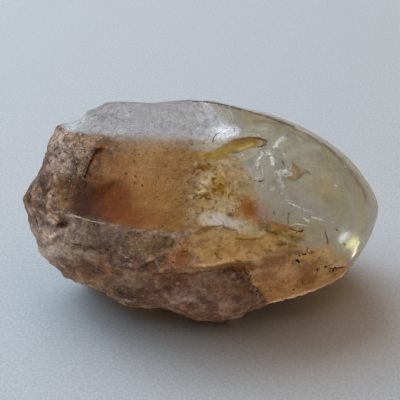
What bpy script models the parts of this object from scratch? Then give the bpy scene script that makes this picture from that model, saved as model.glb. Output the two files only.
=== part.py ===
"""A lodolite crystal (garden quartz): one natural stone, 60 mm long.

One solid. Its outline is drawn on a plane that leans back by 50 degrees from the table, inflated to
both sides, and then worked: a flat frosted top face, a scooped amber hollow with a crisp ridge
under it, a lip over a recessed mauve lump, the cut underside of the polished cap, broken faces
behind, and the flat that the stone rests on. Rough parts carry a coarse broken grain.
"""

import math

import bmesh
import bpy
import numpy as np
from mathutils import Vector, noise

# ---------------------------------------------------------------- dimensions (millimetres)
TILT = math.radians(40.0)     # the outline plane leans back: its normal rises 40 degrees above the table
APEX = 132.2                  # the outline is swept as a shallow cone with its apex this far in front of the stone
APEX_U, APEX_V = -0.51, 1.36  # where the apex sits over the outline plane
BULGE_FRONT = 14.2            # half thickness in front of the outline plane
BULGE_BACK = 13.4             # half thickness behind it
BULGE_HEEL = 17.0             # and low behind, where the stone is fullest, over its resting flat
TOP_FACE = 13.95              # height of the frosted top face over the centre of the outline
FOOT = -15.55                 # height of the flat that the stone rests on
HOLLOW_DEPTH = 3.7            # how deep the amber hollow is scooped below the round body
LUMP_RECESS = 2.0             # how far the mauve lump sits back under the lip
HOME = (0.020, -0.710, 15.550) # the centre of the outline, from the middle of the stone's base

# Outline of the stone on the leaning plane: (across, up), clockwise from the broken left end.
OUTLINE = (
    (-30.3, 0.5), (-30.2, 2.0), (-29.4, 3.9), (-28.0, 6.5), (-26.5, 9.9), (-25.0, 13.3), (-23.8, 14.2),
    (-21.3, 15.1), (-19.6, 16.5), (-17.9, 16.9), (-15.5, 18.0), (-12.4, 18.1), (-9.0, 17.9), (-6.5, 18.1),
    (-2.2, 18.5), (1.2, 18.2), (4.6, 17.7), (8.0, 17.0), (11.4, 16.0), (14.8, 14.7), (18.2, 13.1),
    (21.6, 11.0), (25.0, 8.2), (27.7, 4.8), (29.2, 2.2), (29.8, -0.3), (28.9, -3.7), (27.2, -7.1),
    (25.0, -10.2), (24.1, -11.2), (22.4, -12.4), (19.7, -13.9), (16.5, -15.0), (13.9, -15.6), (11.1, -16.3),
    (10.0, -17.0), (8.0, -17.7), (6.3, -18.4), (3.7, -18.9), (0.3, -18.8), (-2.2, -18.4), (-5.6, -17.4),
    (-7.3, -17.1), (-9.9, -17.2), (-13.3, -16.3), (-15.3, -15.5), (-17.5, -14.4), (-20.9, -13.1),
    (-23.6, -11.6), (-26.0, -9.2), (-27.7, -6.8), (-28.9, -4.1), (-29.8, -1.2),
)
RIDGE = ((-23.3, -1.2), (-20.6, -1.8), (-18.4, -2.2), (-15.8, -2.8), (-12.4, -3.6), (-9.0, -3.9), (-2.2, -4.3), (3.0, -4.0))
HOLLOW_LEFT = ((-26.0, -1.0), (-24.2, 2.5), (-22.6, 4.6), (-20.2, 5.6), (-19.2, 8.0), (-17.3, 10.0), (-17.0, 14.0))
LIP = ((-13.0, -10.6), (-9.0, -11.3), (-5.0, -11.1), (-2.2, -10.8), (-1.2, -10.1), (2.0, -9.7), (4.0, -9.4), (7.0, -9.1), (9.0, -9.3), (12.0, -9.8))
LUMP_RIGHT = ((9.4, -8.6), (8.4, -9.4), (7.4, -10.6), (7.9, -11.6), (8.3, -12.8), (9.4, -13.7), (10.4, -15.0), (11.2, -17.0))


def spline_table(points, closed, count):
    """A smooth run of points through the control points (Catmull-Rom)."""
    pts = [np.array(p, float) for p in points]
    n = len(pts)
    out = []
    spans = n if closed else n - 1
    for i in range(spans):
        p0 = pts[(i - 1) % n] if closed else pts[max(i - 1, 0)]
        p1, p2 = pts[i % n], pts[(i + 1) % n]
        p3 = pts[(i + 2) % n] if closed else pts[min(i + 2, n - 1)]
        for k in range(count):
            t = k / count
            out.append(0.5 * (2 * p1 + (p2 - p0) * t + (2 * p0 - 5 * p1 + 4 * p2 - p3) * t * t
                              + (3 * p1 - p0 - 3 * p2 + p3) * t ** 3))
    if not closed:
        out.append(pts[-1])
    return np.array(out)


_ring = spline_table(OUTLINE, True, 24)
_ang = np.arctan2(_ring[:, 1], _ring[:, 0])
_order = np.argsort(_ang)
_ring_angle = _ang[_order]
_ring_radius = np.hypot(_ring[:, 0], _ring[:, 1])[_order]


def outline_radius(angle):
    return np.interp(angle, _ring_angle, _ring_radius, period=2 * math.pi)


def sstep(a, b, x):
    t = np.clip((x - a) / (b - a), 0.0, 1.0)
    return t * t * (3 - 2 * t)


def smax(a, b, k):
    h = np.clip(0.5 + 0.5 * (a - b) / k, 0.0, 1.0)
    return b + (a - b) * h + k * h * (1 - h)


def along(line, x):
    """The height of a drawn line over x."""
    p = np.array(line)
    return np.interp(x, p[:, 0], p[:, 1])


def across(line, y):
    """The position of a drawn line at height y."""
    p = np.array(line)
    order = np.argsort(p[:, 1])
    return np.interp(y, p[order, 1], p[order, 0])


def dot(U, V, x, y, rx, ry=None):
    ry = rx if ry is None else ry
    return np.exp(-((U - x) / rx) ** 2 - ((V - y) / ry) ** 2)


def groove(U, V, a, b, width):
    """A soft trough along a drawn line, fading at its ends."""
    ax, ay = a
    dx, dy = b[0] - ax, b[1] - ay
    length = math.hypot(dx, dy)
    t = ((U - ax) * dx + (V - ay) * dy) / length
    off = ((V - ay) * dx - (U - ax) * dy) / length
    return np.exp(-(off / width) ** 2) * sstep(-width, 2 * width, t) * (1 - sstep(length - 2 * width, length + width, t))


def to_plane(x, y, z):
    """Stone axes to the leaning plane: across, up the plane, out of the plane."""
    s, c = math.sin(TILT), math.cos(TILT)
    return x, y * s + z * c, -y * c + z * s


def from_plane(u, v, w):
    s, c = math.sin(TILT), math.cos(TILT)
    return u, v * s - w * c, v * c + w * s


def on_outline(u, v, w):
    """Where a point falls on the outline plane, seen from the cone's apex."""
    k = APEX / (APEX - w)
    return (u - APEX_U) * k + APEX_U, (v - APEX_V) * k + APEX_V


def hollow_mask(U, V):
    left = across(HOLLOW_LEFT, V)
    return sstep(-1.2, 7.2, U - left) * (1 - sstep(-8.0, 8.0, U))


def front_depth(U, V):
    """How far the front surface sits behind the plain inflated body."""
    ridge = along(RIDGE, U)
    top = 14.9
    mid, half = (ridge + top) / 2, (top - ridge) / 2
    bowl = np.clip(1 - ((V - mid) / half) ** 2, 0.0, 1.0)
    d = HOLLOW_DEPTH * hollow_mask(U, V) * bowl
    # the lip of the yellow zone and the lump that sits back under it
    lip = along(LIP, U)
    right = across(LUMP_RIGHT, V)
    under = sstep(-0.25, 0.55, lip - V) * sstep(-16.0, -7.0, U) * (1 - sstep(-0.5, 0.4, U - right))
    d = d + LUMP_RECESS * under * (1 - 0.75 * sstep(2.0, 8.0, lip - V))
    d = d - 0.45 * dot(U, V, 2.0, -8.2, 9.0, 1.6)
    # pit and nodule on the broken end, and the pale block under them
    d = d + 1.3 * dot(U, V, -23.8, -2.3, 1.5, 1.1)
    d = d - 1.0 * dot(U, V, -24.2, 1.6, 1.3, 2.2)
    d = d - 0.8 * dot(U, V, -26.4, -7.2, 2.2, 1.6)
    d = d + 0.7 * dot(U, V, -26.8, 5.0, 1.2, 3.0)
    # the crack along the left side of the hollow
    d = d + 0.7 * groove(U, V, (-16.8, 10.2), (-18.7, 9.0), 0.45) + 0.7 * groove(U, V, (-18.5, 9.2), (-20.0, 5.6), 0.45)
    # folds in the rind below the ridge: grooves that climb to the right, and a step over the pale block
    d = d + 0.4 * groove(U, V, (-12.0, -10.6), (-5.6, -7.6), 0.5)
    d = d - 0.4 * groove(U, V, (-11.0, -9.4), (-4.5, -6.4), 0.6)
    d = d + 0.6 * groove(U, V, (-23.0, -6.1), (-18.0, -6.6), 0.45)
    d = d + 0.5 * groove(U, V, (-14.5, -5.0), (-14.0, -9.5), 0.7)
    d = d + 0.9 * dot(U, V, -15.0, -13.6, 4.5, 1.0)
    d = d + 0.5 * groove(U, V, (-13.0, -13.0), (-3.0, -16.5), 0.6)
    return d


def body(u, v, w):
    """Signed distance, in millimetres, to the stone before its surface grain: under 0 is inside."""
    U, V = on_outline(u, v, w)
    rho = np.hypot(U, V) / outline_radius(np.arctan2(V, U))
    shifted = w + front_depth(U, V) * sstep(-5.0, 1.0, w)
    heel = BULGE_BACK + (BULGE_HEEL - BULGE_BACK) * sstep(-5.0, 5.0, -v)
    bulge = np.where(shifted > 0, BULGE_FRONT, heel)
    g = np.sqrt((shifted / bulge) ** 2 + rho ** 2)
    size = np.sqrt(u * u + v * v + w * w) + 1e-9
    f = size * (1 - 1 / np.maximum(g, 1e-6))
    x, y, z = from_plane(u, v, w)
    # the frosted top face, which runs out into the round dome on the right
    soft = 0.6 + 4.0 * sstep(0.0, 9.0, x)
    f = smax(f, z - TOP_FACE - 0.02 * (y - 7.0) - 0.17 * np.maximum(x - 1.0, 0.0), soft)
    # the cut underside of the polished cap: it climbs to the right and towards the back
    cap = (-z - 11.7 + 0.31 * (x - 11.0) - 0.10 * (y + 11.0)) / 1.06
    cap = cap - 5.0 * (1 - sstep(6.0, 14.0, x + 0.12 * (y + 11.0)))
    f = smax(f, cap, 0.5)
    # broken face behind, where the stone was split from its bed
    f = smax(f, (-0.45 * x + 0.75 * y - 0.45 * z) - 15.3, 1.2)
    return f


def reach(du, dv, dw):
    """Distance from the centre to the surface along each direction."""
    low = np.full(du.shape, 2.0)
    high = np.full(du.shape, 45.0)
    for _ in range(34):
        mid = (low + high) / 2
        inside = body(du * mid, dv * mid, dw * mid) < 0
        low = np.where(inside, mid, low)
        high = np.where(inside, high, mid)
    return (low + high) / 2


def finish_masks(U, V, w, x, y, z):
    """How rough, how polished and how hollow each point of the surface is, 0 to 1."""
    front = sstep(-3.0, 0.5, w)
    hollow = hollow_mask(U, V) * sstep(0.0, 0.8, V - along(RIDGE, U)) * front
    lip = along(LIP, U)
    dome_f = sstep(-3.5, 1.5, U) * sstep(-0.4, 0.4, V - lip)
    dome_f = np.maximum(dome_f, sstep(-0.6, 0.4, U - across(LUMP_RIGHT, V)) * sstep(4.0, 9.0, U))
    dome_b = sstep(-3.0, 3.0, x - 0.25 * y + 0.1 * z)
    dome = front * dome_f + (1 - front) * dome_b
    top = sstep(TOP_FACE - 0.9, TOP_FACE - 0.35, z) * (1 - sstep(1.0, 4.0, x))
    dome = dome * (1 - top)
    under = sstep(0.2, 0.9, (-z - 11.7 + 0.31 * (x - 11.0) - 0.10 * (y + 11.0)) + 0.9) * sstep(9.5, 12.5, x)
    dome = dome * (1 - under) * sstep(-15.2, -13.0, z + 0.0 * x)
    rough = np.clip(1 - dome, 0, 1) * (1 - 0.9 * hollow) * (1 - 0.75 * top)
    return rough, dome, hollow, top, front

CELLS = 26                    # facets along each side of the starting cube
GRAIN_COARSE = 0.55           # height of the broken grain on the rough parts


def cube_sphere(cells):
    """Directions and quads of a cube blown up to a ball, with even facets."""
    index, directions, quads = {}, [], []

    def vertex(face, i, j):
        a, b = math.tan((i / cells - 0.5) * math.pi / 2), math.tan((j / cells - 0.5) * math.pi / 2)
        p = {0: (1, a, b), 1: (-1, -a, b), 2: (-a, 1, b), 3: (a, -1, b), 4: (-b, a, 1), 5: (b, a, -1)}[face]
        key = tuple(round(c, 6) for c in p)
        if key not in index:
            index[key] = len(directions)
            directions.append(Vector(p).normalized())
        return index[key]

    for face in range(6):
        for i in range(cells):
            for j in range(cells):
                quads.append((vertex(face, i, j), vertex(face, i + 1, j), vertex(face, i + 1, j + 1), vertex(face, i, j + 1)))
    return directions, quads


def grain(point, rough):
    """Height of the broken grain at a point of the surface."""
    p = point * 0.16
    big = noise.fractal(p, 0.9, 2.1, 3, noise_basis="PERLIN_ORIGINAL")
    cells = noise.voronoi(point * 0.22 + Vector((3.1, 0.0, 7.7)))[0]
    chips = min(cells[1] - cells[0], 0.6) - 0.3
    return GRAIN_COARSE * rough * (0.9 * big + 0.9 * chips)


def build_stone():
    directions, quads = cube_sphere(CELLS)
    d = np.array([tuple(v) for v in directions])
    r = reach(d[:, 0], d[:, 1], d[:, 2])
    u, v, w = (d * r[:, None]).T
    U, V = on_outline(u, v, w)
    x, y, z = from_plane(u, v, w)
    rough, _dome, _hollow, _top, _front = finish_masks(U, V, w, x, y, z)
    mesh = bpy.data.meshes.new("lodolite_crystal")
    bm = bmesh.new()
    verts = []
    for i in range(len(directions)):
        p = Vector((x[i], y[i], z[i]))
        out = p.normalized()
        p = p + out * grain(p, float(rough[i]))
        verts.append(bm.verts.new((p + Vector(HOME)) * 0.001))
    for q in quads:
        bm.faces.new([verts[i] for i in q])
    bmesh.ops.recalc_face_normals(bm, faces=bm.faces)
    # the flat that the stone rests on
    cut = bmesh.ops.bisect_plane(
        bm, geom=list(bm.verts) + list(bm.edges) + list(bm.faces), dist=1e-7,
        plane_co=(0.0, 0.0, (FOOT + HOME[2]) * 0.001), plane_no=(0.0, 0.0, 1.0), clear_inner=True)
    rim = [e for e in cut["geom_cut"] if isinstance(e, bmesh.types.BMEdge)]
    bmesh.ops.holes_fill(bm, edges=rim, sides=0)
    bmesh.ops.remove_doubles(bm, verts=list(bm.verts), dist=2e-5)
    bmesh.ops.triangulate(bm, faces=list(bm.faces))
    bmesh.ops.recalc_face_normals(bm, faces=bm.faces)
    bm.to_mesh(mesh)
    bm.free()
    mesh.shade_smooth()
    return mesh


def stone_material():
    material = bpy.data.materials.new("quartz")
    material.use_nodes = True
    shader = material.node_tree.nodes["Principled BSDF"]
    shader.inputs["Base Color"].default_value = (0.26, 0.19, 0.11, 1.0)
    shader.inputs["Roughness"].default_value = 0.35
    shader.inputs["Metallic"].default_value = 0.0
    shader.inputs["IOR"].default_value = 1.544
    shader.inputs["Transmission Weight"].default_value = 0.4
    return material


def main():
    for old in list(bpy.data.objects):
        bpy.data.objects.remove(old, do_unlink=True)
    stone = bpy.data.objects.new("lodolite_crystal", build_stone())
    stone.data.materials.append(stone_material())
    bpy.context.scene.collection.objects.link(stone)


main()
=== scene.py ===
"""Looks of the lodolite crystal: a clear polished dome over a clay garden, an amber hollow, a rough rind."""

import math

import bpy
import numpy as np
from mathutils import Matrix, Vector, noise
from mathutils.bvhtree import BVHTree


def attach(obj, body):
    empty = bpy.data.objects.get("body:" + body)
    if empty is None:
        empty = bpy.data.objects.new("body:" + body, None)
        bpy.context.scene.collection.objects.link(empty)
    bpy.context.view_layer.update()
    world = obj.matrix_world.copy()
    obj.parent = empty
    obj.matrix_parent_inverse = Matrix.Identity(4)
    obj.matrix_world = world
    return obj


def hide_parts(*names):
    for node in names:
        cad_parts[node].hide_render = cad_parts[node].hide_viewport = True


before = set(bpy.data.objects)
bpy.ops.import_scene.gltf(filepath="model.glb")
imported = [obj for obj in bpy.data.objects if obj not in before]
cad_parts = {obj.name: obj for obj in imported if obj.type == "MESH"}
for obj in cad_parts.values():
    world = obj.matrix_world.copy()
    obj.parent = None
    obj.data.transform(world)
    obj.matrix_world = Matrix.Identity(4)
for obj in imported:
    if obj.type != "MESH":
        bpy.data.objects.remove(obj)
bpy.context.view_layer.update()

# ---------------------------------------------------------------- dimensions (millimetres)
TILT = math.radians(40.0)     # the outline plane leans back: its normal rises 40 degrees above the table
APEX = 132.2                  # the outline is swept as a shallow cone with its apex this far in front of the stone
APEX_U, APEX_V = -0.51, 1.36  # where the apex sits over the outline plane
BULGE_FRONT = 14.2            # half thickness in front of the outline plane
BULGE_BACK = 13.4             # half thickness behind it
BULGE_HEEL = 17.0             # and low behind, where the stone is fullest, over its resting flat
TOP_FACE = 13.95              # height of the frosted top face over the centre of the outline
FOOT = -15.55                 # height of the flat that the stone rests on
HOLLOW_DEPTH = 3.7            # how deep the amber hollow is scooped below the round body
LUMP_RECESS = 2.0             # how far the mauve lump sits back under the lip
HOME = (0.020, -0.710, 15.550) # the centre of the outline, from the middle of the stone's base

# Outline of the stone on the leaning plane: (across, up), clockwise from the broken left end.
OUTLINE = (
    (-30.3, 0.5), (-30.2, 2.0), (-29.4, 3.9), (-28.0, 6.5), (-26.5, 9.9), (-25.0, 13.3), (-23.8, 14.2),
    (-21.3, 15.1), (-19.6, 16.5), (-17.9, 16.9), (-15.5, 18.0), (-12.4, 18.1), (-9.0, 17.9), (-6.5, 18.1),
    (-2.2, 18.5), (1.2, 18.2), (4.6, 17.7), (8.0, 17.0), (11.4, 16.0), (14.8, 14.7), (18.2, 13.1),
    (21.6, 11.0), (25.0, 8.2), (27.7, 4.8), (29.2, 2.2), (29.8, -0.3), (28.9, -3.7), (27.2, -7.1),
    (25.0, -10.2), (24.1, -11.2), (22.4, -12.4), (19.7, -13.9), (16.5, -15.0), (13.9, -15.6), (11.1, -16.3),
    (10.0, -17.0), (8.0, -17.7), (6.3, -18.4), (3.7, -18.9), (0.3, -18.8), (-2.2, -18.4), (-5.6, -17.4),
    (-7.3, -17.1), (-9.9, -17.2), (-13.3, -16.3), (-15.3, -15.5), (-17.5, -14.4), (-20.9, -13.1),
    (-23.6, -11.6), (-26.0, -9.2), (-27.7, -6.8), (-28.9, -4.1), (-29.8, -1.2),
)
RIDGE = ((-23.3, -1.2), (-20.6, -1.8), (-18.4, -2.2), (-15.8, -2.8), (-12.4, -3.6), (-9.0, -3.9), (-2.2, -4.3), (3.0, -4.0))
HOLLOW_LEFT = ((-26.0, -1.0), (-24.2, 2.5), (-22.6, 4.6), (-20.2, 5.6), (-19.2, 8.0), (-17.3, 10.0), (-17.0, 14.0))
LIP = ((-13.0, -10.6), (-9.0, -11.3), (-5.0, -11.1), (-2.2, -10.8), (-1.2, -10.1), (2.0, -9.7), (4.0, -9.4), (7.0, -9.1), (9.0, -9.3), (12.0, -9.8))
LUMP_RIGHT = ((9.4, -8.6), (8.4, -9.4), (7.4, -10.6), (7.9, -11.6), (8.3, -12.8), (9.4, -13.7), (10.4, -15.0), (11.2, -17.0))


def spline_table(points, closed, count):
    """A smooth run of points through the control points (Catmull-Rom)."""
    pts = [np.array(p, float) for p in points]
    n = len(pts)
    out = []
    spans = n if closed else n - 1
    for i in range(spans):
        p0 = pts[(i - 1) % n] if closed else pts[max(i - 1, 0)]
        p1, p2 = pts[i % n], pts[(i + 1) % n]
        p3 = pts[(i + 2) % n] if closed else pts[min(i + 2, n - 1)]
        for k in range(count):
            t = k / count
            out.append(0.5 * (2 * p1 + (p2 - p0) * t + (2 * p0 - 5 * p1 + 4 * p2 - p3) * t * t
                              + (3 * p1 - p0 - 3 * p2 + p3) * t ** 3))
    if not closed:
        out.append(pts[-1])
    return np.array(out)


_ring = spline_table(OUTLINE, True, 24)
_ang = np.arctan2(_ring[:, 1], _ring[:, 0])
_order = np.argsort(_ang)
_ring_angle = _ang[_order]
_ring_radius = np.hypot(_ring[:, 0], _ring[:, 1])[_order]


def outline_radius(angle):
    return np.interp(angle, _ring_angle, _ring_radius, period=2 * math.pi)


def sstep(a, b, x):
    t = np.clip((x - a) / (b - a), 0.0, 1.0)
    return t * t * (3 - 2 * t)


def smax(a, b, k):
    h = np.clip(0.5 + 0.5 * (a - b) / k, 0.0, 1.0)
    return b + (a - b) * h + k * h * (1 - h)


def along(line, x):
    """The height of a drawn line over x."""
    p = np.array(line)
    return np.interp(x, p[:, 0], p[:, 1])


def across(line, y):
    """The position of a drawn line at height y."""
    p = np.array(line)
    order = np.argsort(p[:, 1])
    return np.interp(y, p[order, 1], p[order, 0])


def dot(U, V, x, y, rx, ry=None):
    ry = rx if ry is None else ry
    return np.exp(-((U - x) / rx) ** 2 - ((V - y) / ry) ** 2)


def groove(U, V, a, b, width):
    """A soft trough along a drawn line, fading at its ends."""
    ax, ay = a
    dx, dy = b[0] - ax, b[1] - ay
    length = math.hypot(dx, dy)
    t = ((U - ax) * dx + (V - ay) * dy) / length
    off = ((V - ay) * dx - (U - ax) * dy) / length
    return np.exp(-(off / width) ** 2) * sstep(-width, 2 * width, t) * (1 - sstep(length - 2 * width, length + width, t))


def to_plane(x, y, z):
    """Stone axes to the leaning plane: across, up the plane, out of the plane."""
    s, c = math.sin(TILT), math.cos(TILT)
    return x, y * s + z * c, -y * c + z * s


def from_plane(u, v, w):
    s, c = math.sin(TILT), math.cos(TILT)
    return u, v * s - w * c, v * c + w * s


def on_outline(u, v, w):
    """Where a point falls on the outline plane, seen from the cone's apex."""
    k = APEX / (APEX - w)
    return (u - APEX_U) * k + APEX_U, (v - APEX_V) * k + APEX_V


def hollow_mask(U, V):
    left = across(HOLLOW_LEFT, V)
    return sstep(-1.2, 7.2, U - left) * (1 - sstep(-8.0, 8.0, U))


def front_depth(U, V):
    """How far the front surface sits behind the plain inflated body."""
    ridge = along(RIDGE, U)
    top = 14.9
    mid, half = (ridge + top) / 2, (top - ridge) / 2
    bowl = np.clip(1 - ((V - mid) / half) ** 2, 0.0, 1.0)
    d = HOLLOW_DEPTH * hollow_mask(U, V) * bowl
    # the lip of the yellow zone and the lump that sits back under it
    lip = along(LIP, U)
    right = across(LUMP_RIGHT, V)
    under = sstep(-0.25, 0.55, lip - V) * sstep(-16.0, -7.0, U) * (1 - sstep(-0.5, 0.4, U - right))
    d = d + LUMP_RECESS * under * (1 - 0.75 * sstep(2.0, 8.0, lip - V))
    d = d - 0.45 * dot(U, V, 2.0, -8.2, 9.0, 1.6)
    # pit and nodule on the broken end, and the pale block under them
    d = d + 1.3 * dot(U, V, -23.8, -2.3, 1.5, 1.1)
    d = d - 1.0 * dot(U, V, -24.2, 1.6, 1.3, 2.2)
    d = d - 0.8 * dot(U, V, -26.4, -7.2, 2.2, 1.6)
    d = d + 0.7 * dot(U, V, -26.8, 5.0, 1.2, 3.0)
    # the crack along the left side of the hollow
    d = d + 0.7 * groove(U, V, (-16.8, 10.2), (-18.7, 9.0), 0.45) + 0.7 * groove(U, V, (-18.5, 9.2), (-20.0, 5.6), 0.45)
    # folds in the rind below the ridge: grooves that climb to the right, and a step over the pale block
    d = d + 0.4 * groove(U, V, (-12.0, -10.6), (-5.6, -7.6), 0.5)
    d = d - 0.4 * groove(U, V, (-11.0, -9.4), (-4.5, -6.4), 0.6)
    d = d + 0.6 * groove(U, V, (-23.0, -6.1), (-18.0, -6.6), 0.45)
    d = d + 0.5 * groove(U, V, (-14.5, -5.0), (-14.0, -9.5), 0.7)
    d = d + 0.9 * dot(U, V, -15.0, -13.6, 4.5, 1.0)
    d = d + 0.5 * groove(U, V, (-13.0, -13.0), (-3.0, -16.5), 0.6)
    return d


def body(u, v, w):
    """Signed distance, in millimetres, to the stone before its surface grain: under 0 is inside."""
    U, V = on_outline(u, v, w)
    rho = np.hypot(U, V) / outline_radius(np.arctan2(V, U))
    shifted = w + front_depth(U, V) * sstep(-5.0, 1.0, w)
    heel = BULGE_BACK + (BULGE_HEEL - BULGE_BACK) * sstep(-5.0, 5.0, -v)
    bulge = np.where(shifted > 0, BULGE_FRONT, heel)
    g = np.sqrt((shifted / bulge) ** 2 + rho ** 2)
    size = np.sqrt(u * u + v * v + w * w) + 1e-9
    f = size * (1 - 1 / np.maximum(g, 1e-6))
    x, y, z = from_plane(u, v, w)
    # the frosted top face, which runs out into the round dome on the right
    soft = 0.6 + 4.0 * sstep(0.0, 9.0, x)
    f = smax(f, z - TOP_FACE - 0.02 * (y - 7.0) - 0.17 * np.maximum(x - 1.0, 0.0), soft)
    # the cut underside of the polished cap: it climbs to the right and towards the back
    cap = (-z - 11.7 + 0.31 * (x - 11.0) - 0.10 * (y + 11.0)) / 1.06
    cap = cap - 5.0 * (1 - sstep(6.0, 14.0, x + 0.12 * (y + 11.0)))
    f = smax(f, cap, 0.5)
    # broken face behind, where the stone was split from its bed
    f = smax(f, (-0.45 * x + 0.75 * y - 0.45 * z) - 15.3, 1.2)
    return f


def reach(du, dv, dw):
    """Distance from the centre to the surface along each direction."""
    low = np.full(du.shape, 2.0)
    high = np.full(du.shape, 45.0)
    for _ in range(34):
        mid = (low + high) / 2
        inside = body(du * mid, dv * mid, dw * mid) < 0
        low = np.where(inside, mid, low)
        high = np.where(inside, high, mid)
    return (low + high) / 2


def finish_masks(U, V, w, x, y, z):
    """How rough, how polished and how hollow each point of the surface is, 0 to 1."""
    front = sstep(-3.0, 0.5, w)
    hollow = hollow_mask(U, V) * sstep(0.0, 0.8, V - along(RIDGE, U)) * front
    lip = along(LIP, U)
    dome_f = sstep(-3.5, 1.5, U) * sstep(-0.4, 0.4, V - lip)
    dome_f = np.maximum(dome_f, sstep(-0.6, 0.4, U - across(LUMP_RIGHT, V)) * sstep(4.0, 9.0, U))
    dome_b = sstep(-3.0, 3.0, x - 0.25 * y + 0.1 * z)
    dome = front * dome_f + (1 - front) * dome_b
    top = sstep(TOP_FACE - 0.9, TOP_FACE - 0.35, z) * (1 - sstep(1.0, 4.0, x))
    dome = dome * (1 - top)
    under = sstep(0.2, 0.9, (-z - 11.7 + 0.31 * (x - 11.0) - 0.10 * (y + 11.0)) + 0.9) * sstep(9.5, 12.5, x)
    dome = dome * (1 - under) * sstep(-15.2, -13.0, z + 0.0 * x)
    rough = np.clip(1 - dome, 0, 1) * (1 - 0.9 * hollow) * (1 - 0.75 * top)
    return rough, dome, hollow, top, front

# ---------------------------------------------------------------- camera
PX = 0.17                                   # millimetres per picture pixel on the outline plane
S_T, C_T = math.sin(TILT), math.cos(TILT)
HOME_V = Vector(HOME)


def world_mm(u, v, w):
    x, y, z = from_plane(u, v, w)
    return Vector((x, y, z)) + HOME_V


EYE = world_mm(APEX_U, APEX_V, APEX) * 0.001   # the cone's apex is the eye


def make_camera():
    data = bpy.data.cameras.new("camera")
    data.sensor_width = 36.0
    data.lens = 70.0
    data.clip_start = 0.005
    cam = bpy.data.objects.new("camera", data)
    bpy.context.scene.collection.objects.link(cam)
    cam.location = EYE
    cam.rotation_euler = (math.pi / 2 - TILT, 0.0, 0.0)
    bpy.context.scene.camera = cam
    return cam


def at_px(X, Y):
    """Picture pixel to the outline plane."""
    return (X - 203.0) * PX, (208.0 - Y) * PX


def px_of(U, V):
    return 203.0 + U / PX, 208.0 - V / PX


# ---------------------------------------------------------------- numeric noise
def hash3(ix, iy, iz, seed):
    n = (ix * 374761393 + iy * 668265263 + iz * 1274126177 + seed * 362437) & 0x7FFFFFFF
    n = (n ^ (n >> 13)) * 1103515245 & 0x7FFFFFFF
    n = (n ^ (n >> 16)) * 12345721 & 0x7FFFFFFF
    return ((n ^ (n >> 15)) & 0xFFFF) / 65535.0


def vnoise(P, size, seed=0):
    """Smooth value noise, -1 to 1, over points in millimetres with cells of the given size."""
    Q = P / size + 100.0
    I = np.floor(Q).astype(np.int64)
    F = Q - I
    F = F * F * F * (F * (F * 6 - 15) + 10)
    out = 0.0
    for dx in (0, 1):
        for dy in (0, 1):
            for dz in (0, 1):
                wgt = (F[:, 0] if dx else 1 - F[:, 0]) * (F[:, 1] if dy else 1 - F[:, 1]) * (F[:, 2] if dz else 1 - F[:, 2])
                out = out + wgt * hash3(I[:, 0] + dx, I[:, 1] + dy, I[:, 2] + dz, seed)
    return out * 2 - 1


def fbm(P, size, octaves=4, seed=0, gain=0.5):
    total, amp, norm = 0.0, 1.0, 0.0
    for k in range(octaves):
        total = total + amp * vnoise(P, size / 2 ** k, seed + 17 * k)
        norm += amp
        amp *= gain
    return total / norm


def lin(r, g, b):
    """A colour written 0 to 255, as linear light."""
    c = np.array((r, g, b), float) / 255.0
    return np.where(c <= 0.04045, c / 12.92, ((c + 0.055) / 1.055) ** 2.4)


# ---------------------------------------------------------------- the stone's surface
CELLS = 126
GRAIN_COARSE = 0.55


def cube_sphere(cells):
    index, directions, quads = {}, [], []

    def vertex(face, i, j):
        a, b = math.tan((i / cells - 0.5) * math.pi / 2), math.tan((j / cells - 0.5) * math.pi / 2)
        p = {0: (1, a, b), 1: (-1, -a, b), 2: (-a, 1, b), 3: (a, -1, b), 4: (-b, a, 1), 5: (b, a, -1)}[face]
        key = (round(p[0], 6), round(p[1], 6), round(p[2], 6))
        found = index.get(key)
        if found is None:
            found = index[key] = len(directions)
            directions.append(p)
        return found

    for face in range(6):
        grid = [[vertex(face, i, j) for j in range(cells + 1)] for i in range(cells + 1)]
        for i in range(cells):
            for j in range(cells):
                quads.append((grid[i][j], grid[i + 1][j], grid[i + 1][j + 1], grid[i][j + 1]))
    d = np.array(directions, float)
    return d / np.linalg.norm(d, axis=1)[:, None], np.array(quads)


def grain(point, rough):
    """The same broken grain as the solid."""
    p = point * 0.16
    big = noise.fractal(p, 0.9, 2.1, 3, noise_basis="PERLIN_ORIGINAL")
    cells = noise.voronoi(point * 0.22 + Vector((3.1, 0.0, 7.7)))[0]
    chips = min(cells[1] - cells[0], 0.6) - 0.3
    return GRAIN_COARSE * rough * (0.9 * big + 0.9 * chips)


def new_mesh(name, points_mm, faces, smooth=True):
    """A mesh object from points in the stone's own millimetres (home added), faces as lists."""
    me = bpy.data.meshes.new(name)
    P = (np.asarray(points_mm, float) + np.array(HOME)) * 0.001
    me.from_pydata([tuple(p) for p in P], [], [tuple(int(i) for i in f) for f in faces])
    me.update()
    if smooth:
        me.shade_smooth()
    ob = bpy.data.objects.new(name, me)
    bpy.context.scene.collection.objects.link(ob)
    return ob


def attribute(me, name, values):
    a = me.attributes.new(name, "FLOAT", "POINT")
    a.data.foreach_set("value", np.asarray(values, np.float32))


def colour_attribute(me, name, rgb):
    a = me.attributes.new(name, "FLOAT_COLOR", "POINT")
    rgba = np.ones((len(rgb), 4), np.float32)
    rgba[:, :3] = rgb
    a.data.foreach_set("color", rgba.ravel())


def blend_colour(base, colour, weight):
    w = np.clip(weight, 0, 1)[:, None]
    return base * (1 - w) + np.asarray(colour)[None, :] * w


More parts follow.
